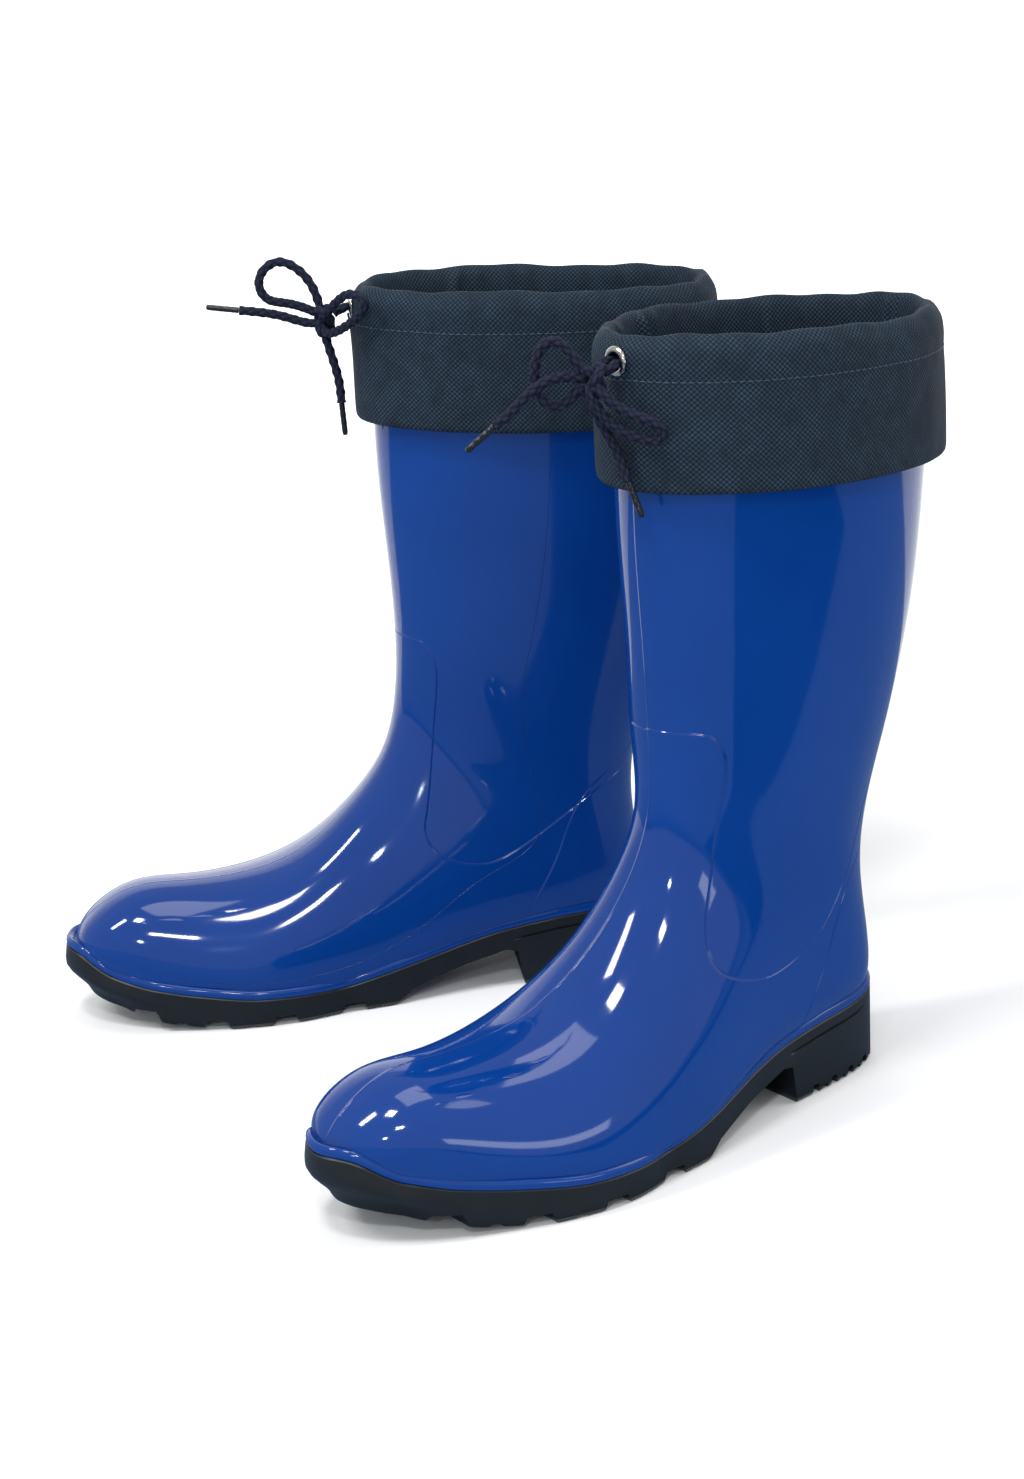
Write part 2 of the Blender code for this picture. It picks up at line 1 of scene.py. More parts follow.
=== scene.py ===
# Looks for a pair of tall glossy PVC deck boots with woven drawstring collars.
# The world is in metres. Each boot is drawn in millimetres as a left boot, with X to the outer
# side of the foot, toes to -Y and the floor at 0. The right boot is its mirror image.
import json
import math

import bmesh
import bpy
import numpy as np
from mathutils import Matrix, Vector
from mathutils.bvhtree import BVHTree


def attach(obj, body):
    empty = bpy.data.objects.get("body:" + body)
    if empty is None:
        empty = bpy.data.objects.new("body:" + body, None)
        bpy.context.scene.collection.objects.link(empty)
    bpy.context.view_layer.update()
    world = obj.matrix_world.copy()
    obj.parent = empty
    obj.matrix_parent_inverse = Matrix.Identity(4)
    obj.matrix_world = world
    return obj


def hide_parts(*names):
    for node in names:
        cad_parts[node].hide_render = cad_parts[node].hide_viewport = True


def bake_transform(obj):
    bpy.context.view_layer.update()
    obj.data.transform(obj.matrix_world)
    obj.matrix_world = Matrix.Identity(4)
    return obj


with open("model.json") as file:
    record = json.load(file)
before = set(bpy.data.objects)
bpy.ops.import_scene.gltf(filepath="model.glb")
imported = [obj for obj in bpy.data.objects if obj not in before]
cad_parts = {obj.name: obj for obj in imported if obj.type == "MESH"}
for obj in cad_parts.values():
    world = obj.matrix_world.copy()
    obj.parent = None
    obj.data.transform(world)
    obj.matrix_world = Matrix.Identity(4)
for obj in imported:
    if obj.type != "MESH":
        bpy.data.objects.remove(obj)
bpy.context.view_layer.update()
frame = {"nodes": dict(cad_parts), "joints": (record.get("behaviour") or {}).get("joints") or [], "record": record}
mm = 0.001
sides = ("left", "right")
standing = {"heelMountBack": 35.5}     # the heel mount is this far behind the boot's own origin


def bootPlace(side):
    # turns millimetres in the boot's own frame into metres in the world
    joint = next(j for j in frame["joints"] if j["name"] == f"{side}_insole_lift")
    heel = next(m for m in frame["record"]["mounts"] if m["name"] == f"{side}_heel")
    across = Vector(joint["axis"]).normalized()
    back = Vector((-across.y, across.x, 0))
    origin = Vector(heel["pos_m"]) - back * standing["heelMountBack"] * mm
    mirror = 1 if side == "left" else -1
    turned = Matrix((across * mirror, back, Vector((0, 0, 1)))).transposed().to_4x4()
    return Matrix.Translation(origin) @ turned @ Matrix.Scale(mm, 4)


places = {side: bootPlace(side) for side in sides}


def toWorld(side, points):
    place = np.array(places[side])
    return np.atleast_2d(np.array(points, float)) @ place[:3, :3].T + place[:3, 3]


# Camera: a low three-quarter view, from the side that the toes point to
camera = {
    "aim": (-62.3, -50.4, 160.1),      # from the left boot's origin, mm along the world's axes
    "azimuth": 63.56, "elevation": 18.2, "roll": -3.07, "distance": 1.109, "lens": 62.4,
}


def makeCamera():
    azimuth, elevation = math.radians(camera["azimuth"]), math.radians(camera["elevation"])
    back = Vector((math.sin(azimuth) * math.cos(elevation),
                   -math.cos(azimuth) * math.cos(elevation), math.sin(elevation)))
    right = Vector((math.cos(azimuth), math.sin(azimuth), 0))
    turn = Matrix((right, back.cross(right), back)).transposed().to_4x4()
    aim = places["left"].translation + Vector(camera["aim"]) * mm
    data = bpy.data.cameras.new("camera")
    data.lens = camera["lens"]
    holder = bpy.data.objects.new("camera", data)
    bpy.context.scene.collection.objects.link(holder)
    holder.matrix_world = (Matrix.Translation(aim + back * camera["distance"]) @ turn
                           @ Matrix.Rotation(math.radians(camera["roll"]), 4, "Z"))
    bpy.context.scene.camera = holder


makeCamera()
print("camera set")


# Small helpers for curves, meshes and materials

def smoothThrough(values):
    # the smooth curve through rows of values at 0, 1, 2 and so on
    values = np.array(values, float)
    count = len(values)
    system = np.eye(count)
    right = np.zeros_like(values)
    for i in range(1, count - 1):
        system[i, i - 1:i + 2] = 1, 4, 1
        right[i] = 6 * (values[i + 1] - 2 * values[i] + values[i - 1])
    bend = np.linalg.solve(system, right)

    def at(wanted):
        wanted = np.atleast_1d(wanted)
        i = np.clip(wanted.astype(int), 0, count - 2)
        t = (wanted - i)[:, None]
        s = 1 - t
        return (s * values[i] + t * values[i + 1]
                + ((s ** 3 - s) * bend[i] + (t ** 3 - t) * bend[i + 1]) / 6)

    return at


def evenPoints(route, step):
    # points at even steps along the smooth curve through a route
    count = len(route)
    fine = smoothThrough(route)(np.linspace(0, count - 1, 40 * (count - 1) + 1))
    lengths = np.append(0, np.cumsum(np.linalg.norm(np.diff(fine, axis=0), axis=1)))
    wanted = np.linspace(0, lengths[-1], max(3, round(lengths[-1] / step) + 1))
    return np.stack([np.interp(wanted, lengths, fine[:, i]) for i in range(3)], axis=1)


def unit(vectors):
    return vectors / np.maximum(np.linalg.norm(vectors, axis=-1, keepdims=True), 1e-9)


def smoothStep(low, high, values):
    t = np.clip((np.asarray(values, float) - low) / (high - low), 0, 1)
    return t * t * (3 - 2 * t)


def gridFaces(rows, columns, closed=True, first=0):
    # quads between neighbouring rows, wound so that rows going up face outward
    faces = []
    for r in range(rows - 1):
        for c in range(columns if closed else columns - 1):
            d = (c + 1) % columns
            near, far = first + r * columns, first + (r + 1) * columns
            faces.append((near + c, near + d, far + d, far + c))
    return faces


def addPiece(side, name, points, faces, material, body=None, spread=None, smooth=True):
    # a mesh object from millimetre points in the boot's frame; spread is a UV for each point
    points = toWorld(side, points)
    if side == "right":
        faces = [tuple(reversed(face)) for face in faces]
    data = bpy.data.meshes.new(f"{side}_{name}")
    data.from_pydata(points.tolist(), [], faces)
    if spread is not None:
        layer = data.uv_layers.new(name="cloth")
        corners = np.zeros(len(data.loops), int)
        data.loops.foreach_get("vertex_index", corners)
        layer.data.foreach_set("uv", np.asarray(spread, np.float32)[corners].ravel())
    data.materials.append(material)
    if smooth:
        data.shade_smooth()
    piece = bpy.data.objects.new(f"{side}_{name}", data)
    bpy.context.scene.collection.objects.link(piece)
    if body:
        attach(piece, f"{side}_{body}")
    return piece


def mergeMeeting(piece):
    # makes one point of points that meet
    shape = bmesh.new()
    shape.from_mesh(piece.data)
    bmesh.ops.remove_doubles(shape, verts=shape.verts, dist=0.01 * mm)
    shape.to_mesh(piece.data)
    shape.free()


def keepValues(piece, name, values):
    # a number for each point, which the piece's material reads
    piece.data.attributes.new(name, "FLOAT", "POINT").data.foreach_set(
        "value", np.asarray(values, np.float32).ravel())


def linear(colour):
    # sRGB hex to the linear colour that shaders take
    parts = [int(colour[i:i + 2], 16) / 255 for i in (1, 3, 5)]
    return tuple(p / 12.92 if p <= 0.04045 else ((p + 0.055) / 1.055) ** 2.4
                 for p in parts) + (1,)


def newMaterial(name, finish):
    material = bpy.data.materials.new(name)
    material.use_nodes = True
    shader = material.node_tree.nodes["Principled BSDF"]
    for socket, value in finish.items():
        shader.inputs[socket].default_value = value
    return material, material.node_tree, shader


def addNode(tree, kind, settings, links=None):
    # settings go to sockets or properties by name; links feed sockets from other outputs
    node = tree.nodes.new("ShaderNode" + kind)
    for key, value in settings.items():
        if isinstance(key, int) or key in node.inputs:
            node.inputs[key].default_value = value
        else:
            setattr(node, key, value)
    for socket, source in (links or {}).items():
        tree.links.new(source, node.inputs[socket])
    return node


def perMetre(millimetres):
    # a texture's scale for a pattern of this size
    return 1000 / millimetres


def finishSurface(tree, shader, height, strength, deep, share=None, dark=None, light=None):
    # relief from a pattern of heights, and colour that goes from dark to light with a share
    bump = addNode(tree, "Bump", {"Strength": strength, "Distance": deep}, {"Height": height})
    tree.links.new(bump.outputs["Normal"], shader.inputs["Normal"])
    if share is not None:
        tone = addNode(tree, "Mix", {"data_type": "RGBA", 6: linear(dark), 7: linear(light)},
                       {0: share})
        tree.links.new(tone.outputs[2], shader.inputs["Base Color"])


# Drawstrings: braided polyester cord, 4.5 mm thick
cordBraid = {
    "radius": 2.25, "relief": 0.3, "carriers": 4, "plait": 5.0,
    # the crevice colour is painted shade between the strands; the strand colour is the yarn's own navy
    "around": 36, "step": 0.42, "creviceShade": "#04060C", "strand": "#161E3C",
}


def makeBraidMaterial():
    # braided polyester yarn: dull, with painted shade between the strands, where the colour darkens with the
    # braid's height
    material, tree, shader = newMaterial("braided_polyester_cord", {
        "Roughness": 0.78, "IOR": 1.54, "Specular IOR Level": 0.25})
    height = addNode(tree, "Attribute", {"attribute_name": "braidHeight"}).outputs["Fac"]
    place = addNode(tree, "TexCoord", {}).outputs["Object"]
    # yarn filaments of about 0.3 mm
    fibre = addNode(tree, "TexNoise", {"Scale": perMetre(0.35), "Detail": 3.0},
                    {"Vector": place}).outputs["Fac"]
    # painted shade: the colour darkens where the braid is low
    top = addNode(tree, "MapRange", {"From Min": 0.1, "From Max": 0.95},
                  {"Value": height}).outputs["Result"]
    finishSurface(tree, shader, fibre, 0.8, 0.2 * mm, top, cordBraid["creviceShade"],
                  cordBraid["strand"])
    return material


braidMaterial = makeBraidMaterial()


def framesAlong(path):
    # two directions across the path at each point, which don't twist about it
    tangents = unit(np.gradient(path, axis=0))
    start = np.array((0, 0, 1.0)) if abs(tangents[0, 2]) < 0.8 else np.array((1.0, 0, 0))
    across = np.zeros_like(path)
    current = start
    for i, tangent in enumerate(tangents):
        current = current - tangent * (current @ tangent)
        current = current / np.linalg.norm(current)
        across[i] = current
    return across, np.cross(tangents, across)


def braidedTube(path, radius, around=cordBraid["around"]):
    # each strand passes over and under the ones that wind the other way
    relief = cordBraid["relief"]
    radius = np.broadcast_to(np.asarray(radius, float), len(path))[:, None]
    across, up = framesAlong(path)
    length = np.append(0, np.cumsum(np.linalg.norm(np.diff(path, axis=0), axis=1)))[:, None]
    turn = np.arange(around)[None] / around
    plait = cordBraid["plait"]
    one = cordBraid["carriers"] * turn + length / plait
    two = cordBraid["carriers"] * turn - length / plait
    over = (np.floor(one) + np.floor(two)) % 2 == 0
    a, b = 2 * (one % 1) - 1, 2 * (two % 1) - 1
    height = np.where(over, (1 - a * a) * (1 - 0.45 * b * b), (1 - b * b) * (1 - 0.45 * a * a))
    reach = radius * (1 - relief + relief * height)
    angle = math.tau * turn
    ring = across[:, None] * np.cos(angle)[..., None] + up[:, None] * np.sin(angle)[..., None]
    points = (path[:, None] + ring * reach[..., None]).reshape(-1, 3)
    rows = len(path)
    faces = gridFaces(rows, around)
    points = np.vstack([points, path[:1], path[-1:]])
    first, last = rows * around, rows * around + 1
    for c in range(around):
        d = (c + 1) % around
        faces.append((first, d, c))
        faces.append((last, (rows - 1) * around + c, (rows - 1) * around + d))
    return points, faces, np.append(height.ravel(), (0.3, 0.3))


bow = {
    "eyelet": (0, -31.2, 331),         # the eyelet's centre; the routes below start from it
    "knotSize": (1.9375, 2.625, 2.1875),
    "left": {
        "knot": (0, -12.5, -5),
        "strand_a": ((-1.6, 3.5, 0.2), (-1.7, 0, 0.4), (-2.4, -2.2, 0.5), (-2.6, -4.5, -0.4),
                     (-2.2, -8.0, -1.9)),
        "strand_b": ((1.6, 3.5, -0.2), (1.7, 0, -0.4), (2.4, -2.2, -0.5), (2.8, -4.5, -1.4),
                     (2.2, -8.0, -3.0)),
        "loop_a": ((-1.6, -15.2, -1.5), (-3.2, -17.4, 2.5), (-7, -21, 9), (-11, -25, 10),
                   (-14, -28, 5), (-15, -29, -3), (-14, -28, -11), (-10, -24, -15),
                   (-6, -20, -13), (-3.4, -17.4, -9.5), (-1.8, -15.2, -6.8)),
        "loop_b": ((1.2, -15.0, -6.5), (3.4, -15.6, -12), (7, -12, -20), (12, -8, -25),
                   (18, -3, -28), (24, 1, -28), (25, 0, -23), (19, -5, -19), (12, -10, -15),
                   (6.5, -14, -9), (2.6, -14.4, -4.6)),
        "tail_a": ((-1.6, -14.6, -4.4), (-4.5, -19.0, -3.8), (-7, -24.5, -3.5),
                   (-9.5, -31, -5.5), (-13, -36, -10), (-17.5, -40, -16), (-22, -44.5, -21)),
        "tail_b": ((0, -14.0, -8.0), (0.4, -13.2, -14), (2, -10, -23), (4, -6.5, -31),
                   (6, -4.5, -38), (9, -3.5, -46)),
    },
    "right": {
        "knot": (0.5, -12.5, -5),
        "strand_a": ((-1.6, 3.5, 0.2), (-1.7, 0, 0.4), (-2.4, -2.2, 0.5), (-2.8, -4.5, -0.4),
                     (-2.4, -8.0, -1.9)),
        "strand_b": ((1.6, 3.5, -0.2), (1.7, 0, -0.4), (2.4, -2.2, -0.5), (2.6, -4.5, -1.4),
                     (2.2, -8.0, -3.0)),
        "loop_a": ((0.3, -13.8, -3.0), (0.4, -15, 4), (1, -18, 12), (2, -24, 19), (3, -32, 22),
                   (4, -39, 18), (4, -41, 11), (4, -37, 5), (3, -29, 3), (2, -20.5, 0.2),
                   (1.2, -15.0, -2.6)),
        "loop_b": ((-1.2, -13.4, -6.4), (-5.4, -12.2, -10.4), (-13, -8, -9), (-21, -3, -5),
                   (-28, 3, 1), (-30, 4, 7), (-24, -1, 9), (-17, -6, 6), (-9, -11, 0),
                   (-4.4, -13.4, -3.4), (-1.6, -13.6, -5.0)),
        "tail_a": ((0.4, -14.0, -6.2), (1, -18.5, -6.6), (2, -25, -5), (3, -34, -2), (4, -44, 0),
                   (5, -51, 1)),
        "tail_b": ((0.3, -13.4, -7.4), (0, -12.4, -14), (-1, -10, -24), (-1, -8, -34),
                   (-1, -7.5, -44)),
    },
}
aglet = {
    "gap": 0.3, "radius": 1.4, "around": 20, "cadStep": 10.5,
    # share of the radius, and distance from the cord in millimetres
    "collar": ((0.0, 0.0), (0.9, 0.0), (1.0, 0.25), (1.0, 1.0), (0.93, 1.5), (1.0, 2.0)),
    "crimps": (3.6, 7.0, 10.4),
    "tip": ((0.95, 13.2), (0.88, 14.4), (0.6, 14.95), (0.0, 15.0)),
}


def makeAgletMaterial():
    # heat-shrunk acetate film: smooth, dark and shiny, with small pinched rings
    material, tree, shader = newMaterial("shrunk_acetate_tip", {
        "Base Color": linear("#14161C"), "Roughness": 0.22, "IOR": 1.48})
    place = addNode(tree, "TexCoord", {}).outputs["Object"]
    ripple = addNode(tree, "TexNoise", {"Scale": perMetre(1.2)}, {"Vector": place})
    finishSurface(tree, shader, ripple.outputs["Fac"], 0.5, 0.1 * mm)
    return material


agletMaterial = makeAgletMaterial()


def makeAglet(side, name, path):
    # the tip goes on in line with the cord's end
    end = path[-1]
    along = unit(end - evenPoints(path, aglet["cadStep"])[-2])
    profile = list(aglet["collar"])
    for at in aglet["crimps"]:
        profile += [(1.0, at - 0.5), (0.88, at), (0.99, at + 0.5)]
    profile += aglet["tip"]
    side1 = unit(np.cross(along, (0.3, 0.2, 1.0)))
    side2 = np.cross(along, side1)
    points = []
    for radius, distance in profile:
        for a in range(aglet["around"]):
            angle = math.tau * a / aglet["around"]
            out = side1 * math.cos(angle) + side2 * math.sin(angle)
            points.append(end + along * (aglet["gap"] + distance)
                          + out * radius * aglet["radius"])
    return addPiece(side, name, points, gridFaces(len(profile), aglet["around"]),
                    agletMaterial, "drawstring")


def knotPath():
    # one strand that passes over and under itself three times
    wide, deep, tall = bow["knotSize"]
    t = np.linspace(0.15, math.tau + 0.02, 150)
    return np.stack([wide * (np.sin(t) + 2 * np.sin(2 * t)), -deep * np.sin(3 * t),
                     tall * (np.cos(t) - 2 * np.cos(2 * t))], axis=1)


def makeBow(side):
    eye = np.array(bow["eyelet"], float)
    routes = bow[side]
    for name, route in routes.items():
        if name == "knot":
            path, radius = knotPath() + eye + np.array(route), cordBraid["radius"]
        else:
            path = evenPoints(np.array(route, float) + eye, cordBraid["step"])
            radius = cordBraid["radius"]
        if name.startswith("strand"):          # squeezed where both strands pass the eyelet
            near = smoothStep(-1.0, 3.0, -(path[:, 1] - eye[1]))
            radius = 1.55 + (2.15 - 1.55) * near
        points, faces, height = braidedTube(path, radius)
        body = None if name.startswith("strand") else "drawstring"
        piece = addPiece(side, f"braid_{name}", points, faces, braidMaterial, body)
        keepValues(piece, "braidHeight", height)
        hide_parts(f"{side}_drawstring_{name}")
        if name.startswith("strand"):
            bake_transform(piece)
        elif name.startswith("loop"):
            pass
        elif name.startswith("tail"):
            tip = makeAglet(side, "tip_" + name[-1], path)
            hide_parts(f"{side}_aglet_{name[-1]}")


for side in sides:
    makeBow(side)
print("bows and aglets made")


# The boot's outside: sections from toe tip to shaft top in millimetres. Each gives its front or
# top point (y, z), back or bottom point (y, z), outer and inner half width, the share of its
# height where it is widest, the roundness of its upper and lower half, and its sideways place
boot = {
    "sections": (
        ((-188, 37), (-178, 33.5), 8, 9, 0.51, 2.1, 2.3, -16),
        ((-178.5, 51), (-172, 26.5), 23.5, 23.5, 0.42, 2.3, 2.7, -15),
        ((-156, 62.5), (-154, 17.5), 35.5, 33, 0.30, 2.2, 3.1, -13.5),
        ((-126, 62.5), (-129, 11.5), 45, 38.5, 0.25, 2.0, 3.7, -11.5),
        ((-84, 68), (-90, 8.5), 55.5, 44, 0.19, 2.1, 3.9, -8.5),
        ((-52, 89.5), (-32, 14), 50, 39, 0.18, 2.2, 3.8, -4.5),
        ((-31.5, 115.5), (30, 23.5), 40, 36, 0.34, 2.2, 3.1, -2),
        ((-23, 144), (88, 30), 33.5, 34.5, 0.41, 2.2, 2.7, 1),
        ((-21, 175), (90, 87), 37, 37.5, 0.49, 2.1, 2.2, 0),
        ((-22, 211), (104, 150), 41.5, 41.5, 0.49, 2.0, 2.2, 0),
        ((-24, 251), (123.5, 215), 45.5, 45.5, 0.49, 2.0, 2.1, 0),
        ((-24, 291), (133.5, 285), 48, 48, 0.50, 2.0, 2.0, 0),
    ),
    "rings": 166, "around": 112, "wall": 2.5, "liningGap": 1.2, "liningWall": 0.8,
    "insideFrom": 8,                           # the first ring that the walls' insides have
    "toeTip": 1.0,                             # how far the toe's tip is past the first ring
}
mouldLines = {
    # where the pattern lines moulded into the upper run, seen from the boot's side (y, z)
    "panelOuter": ((-40, 177), (-13, 177), (-7, 174), (-4, 168), (-3.5, 160), (-5, 144),
                   (-10.5, 117), (-16.5, 102), (-20.5, 89), (-20, 81), (-15, 75), (-4, 70),
                   (12, 67), (29, 70), (44, 78), (57, 95), (67, 109), (80, 131), (95, 150)),
    "panelInner": ((-40, 176), (-14, 176), (-8, 173), (-5, 167), (-4.5, 155), (-6, 140),
                   (-9, 117), (-12, 100), (-14, 91), (-15, 83), (-11, 74), (-3, 69), (11, 66),
                   (24, 69), (39, 77), (53, 87), (71, 98), (88, 105), (100, 109)),
    "counter": ((100, 128), (86, 112), (74, 104), (65, 98), (57, 88), (51, 74), (45, 60),
                (35, 43), (28, 28), (25, 15)),
    "crease": (-152, -96), "creaseOut": 26, "creaseBelow": 110,
    "far": 12,                                 # distances beyond this count as no line
    "away": 400,                               # past all of the boot, in every direction
}


def bootGrid(rings, around):
    flat = [(*front, *back, *rest) for front, back, *rest in boot["sections"]]
    tracks = smoothThrough(flat)(np.linspace(0, len(flat) - 1, rings))
    fy, fz, by, bz, outer, inner, share, top, bottom, middle = (c[:, None] for c in tracks.T)
    my, mz = by + (fy - by) * share, bz + (fz - bz) * share
    angle = math.tau * np.arange(around)[None] / around
    rise, turn = np.cos(angle), np.sin(angle)
    upper = rise >= 0
    power = 2 / np.where(upper, top, bottom)
    across = np.sign(turn) * np.abs(turn) ** power
    reach = np.abs(rise) ** power
    x = middle + np.where(across >= 0, outer, inner) * across
    y = my + reach * (np.where(upper, fy, by) - my)
    z = mz + reach * (np.where(upper, fz, bz) - mz)
    return np.stack([x, y, z], axis=2), tracks


def outwardOf(grid):
    along = np.gradient(grid, axis=0)
    roundIt = np.roll(grid, -1, axis=1) - np.roll(grid, 1, axis=1)
    return unit(np.cross(roundIt, along))


def closedToe(grid):
    rows, around = grid.shape[:2]
    apex = grid[0].mean(axis=0) - (0, boot["toeTip"], 0)
    points = np.vstack([grid.reshape(-1, 3), apex])
    faces = gridFaces(rows, around)
    faces += [(rows * around, (a + 1) % around, a) for a in range(around)]
    return points, faces


def wallBetween(outside, inside):
    points, faces = closedToe(outside)
    more, other = closedToe(inside)
    first, around = len(points), outside.shape[1]
    top, under = (outside.shape[0] - 1) * around, first + (inside.shape[0] - 1) * around
    faces += [tuple(first + i for i in reversed(face)) for face in other]
    for a in range(around):
        b = (a + 1) % around
        faces.append((top + a, top + b, under + b, under + a))
    return np.vstack([points, more]), faces


def lineDistance(points, line):
    # distance in millimetres from each point to a line of straight pieces, in the side view
    best = np.full(len(points), 1e9)
    for start, end in zip(line, line[1:]):
        start, run = np.array(start, float), np.subtract(end, start)
        t = np.clip((points - start) @ run / (run @ run), 0, 1)
        best = np.minimum(best, np.linalg.norm(points - start - t[:, None] * run, axis=1))
    return best


def insideOutline(points, outline):
    # whether each point is inside a closed outline, by counting crossings
    inside = np.zeros(len(points), bool)
    y, z = points.T
    for (ay, az), (by, bz) in zip(outline, outline[1:] + outline[:1]):
        if az != bz:
            crosses = (az > z) != (bz > z)
            inside ^= crosses & (y < (by - ay) * (z - az) / (bz - az) + ay)
    return inside


def softened(line, step=1.5):
    # the same line with its corners rounded
    line = np.array(line, float)
    return evenPoints(np.column_stack([line, np.zeros(len(line))]), step)[:, :2]


grid, tracks = bootGrid(boot["rings"], boot["around"])
outward = outwardOf(grid)
upperPoints, upperFaces = wallBetween(
    grid, (grid - outward * boot["wall"])[boot["insideFrom"]:])
depth = boot["wall"] + boot["liningGap"]
liningOutside = (grid - outward * depth)[boot["insideFrom"]:]
liningInside = (grid - outward * (depth + boot["liningWall"]))[boot["insideFrom"]:]
print("upper drawn")


def lineValues():
    # signed distance to each moulded line, for every point of the outside
    flat, far, away = grid.reshape(-1, 3), mouldLines["far"], mouldLines["away"]
    side = flat[:, 1:]
    values = {}
    for name in ("panelOuter", "panelInner", "counter"):
        line = softened(mouldLines[name])
        top, (endY, endZ) = line[0][1], line[-1]
        if name == "counter":                  # what is behind and below the line
            corners = [(endY, -away), (away, -away), (away, top)]
        else:                                  # what is above it
            corners = [(away, endZ), (away, away), (-away, away), (-away, top)]
        sign = np.where(insideOutline(side, [tuple(p) for p in line] + corners), 1, -1)
        values[name] = sign * np.clip(lineDistance(side, line), 0, far)
    outer = flat[:, 0] >= np.repeat(tracks[:, 9], boot["around"])
    panel = np.where(outer, values["panelOuter"], values["panelInner"])
    angle = np.arange(boot["around"]) / boot["around"]
    topHalf = np.tile((angle < 0.25) | (angle > 0.75), boot["rings"])
    middle = flat[:, 0] - np.repeat(tracks[:, 9], boot["around"])
    parting = np.where(topHalf, middle, far)
    back = np.where(~topHalf, middle, far)
    # a faint crease on each side of the vamp
    y, (creaseToe, creaseBack) = flat[:, 1], mouldLines["crease"]
    past = np.maximum(creaseToe - y, 0) + np.maximum(y - creaseBack, 0)
    crease = np.where(topHalf & (flat[:, 2] < mouldLines["creaseBelow"]),
                      np.hypot(np.abs(middle) - mouldLines["creaseOut"], past), far)
    lines = {"panelLine": panel, "counterLine": values["counter"], "partingLine": parting,
             "backLine": back, "creaseLine": crease}
    rest = np.full(len(upperPoints) - len(flat), float(far))     # the inside has no lines
    return {name: np.append(np.clip(line, -far, far), rest) for name, line in lines.items()}


pvc = {
    "colour": "#053A88", "deep": "#04327A", "roughness": (0.04, 0.11),
    # heights of the steps and lines in millimetres, and the widths of the lines
    "panelStep": 0.55, "counterStep": 0.6, "stepWidth": 0.8,
    "lines": (("partingLine", 0.8, 0.22), ("backLine", 1.0, 0.3), ("creaseLine", 0.9, 0.1),
              ("panelLine", 0.9, -0.22), ("counterLine", 0.9, -0.2)),
    "waves": ((75, 0.55), (14, 0.03)),         # how far apart and how high the skin's waves are
}


def makePvcMaterial():
    # plasticised PVC injected into a polished mould: a wet-looking gloss that mirrors the lamps,
    # slightly wavy because the wall is soft, with fine raised lines where the mould's parts met
    material, tree, shader = newMaterial("polished_mould_pvc", {"IOR": 1.53})
    place = addNode(tree, "TexCoord", {}).outputs["Object"]
    heights = []
    half = pvc["stepWidth"]
    steps = [("panelLine", half, -half, pvc["panelStep"], False),
             ("counterLine", -half, half, pvc["counterStep"], False)]
    steps += [(name, width, 0.0, size, True) for name, width, size in pvc["lines"]]
    for name, low, high, size, bothSides in steps:
        value = addNode(tree, "Attribute", {"attribute_name": name}).outputs["Fac"]
        if bothSides:
            value = addNode(tree, "Math", {"operation": "ABSOLUTE"}, {0: value}).outputs[0]
        heights.append(addNode(tree, "MapRange", {
            "interpolation_type": "SMOOTHSTEP", "From Min": low, "From Max": high,
            "To Max": size}, {"Value": value}).outputs["Result"])
    for size, height in pvc["waves"]:
        noise = addNode(tree, "TexNoise", {"Scale": perMetre(size), "Detail": 1.0,
                                           "Roughness": 0.4}, {"Vector": place})
        heights.append(addNode(tree, "Math", {"operation": "MULTIPLY", 1: height},
                               {0: noise.outputs["Fac"]}).outputs[0])
    total = heights[0]
    for height in heights[1:]:
        total = addNode(tree, "Math", {"operation": "ADD"}, {0: total, 1: height}).outputs[0]
    # the pigment isn't quite even through the moulding
    cloud = addNode(tree, "TexNoise", {"Scale": perMetre(60), "Detail": 3.0},
                    {"Vector": place}).outputs["Fac"]
    finishSurface(tree, shader, total, 1.0, mm, cloud, pvc["deep"], pvc["colour"])
    # wiping leaves some patches a little less sharp than others
    sharpest, dullest = pvc["roughness"]
    wiped = addNode(tree, "MapRange", {"To Min": sharpest, "To Max": dullest}, {"Value": cloud})
    tree.links.new(wiped.outputs["Result"], shader.inputs["Roughness"])
    return material


pvcMaterial = makePvcMaterial()
upperValues = lineValues()
for side in sides:
    upper = addPiece(side, "moulded_upper", upperPoints, upperFaces, pvcMaterial, "boot")
    for name, values in upperValues.items():
        keepValues(upper, name, values)
    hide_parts(f"{side}_upper")
print("uppers made")


# Lining: knitted cotton, glued inside the moulding
# dark and light follow the loops' height: painted shade in the gaps and a painted highlight on the loop tops
knit = {"wale": 1.9, "course": 1.5, "light": "#6A6F73", "dark": "#35393D"}


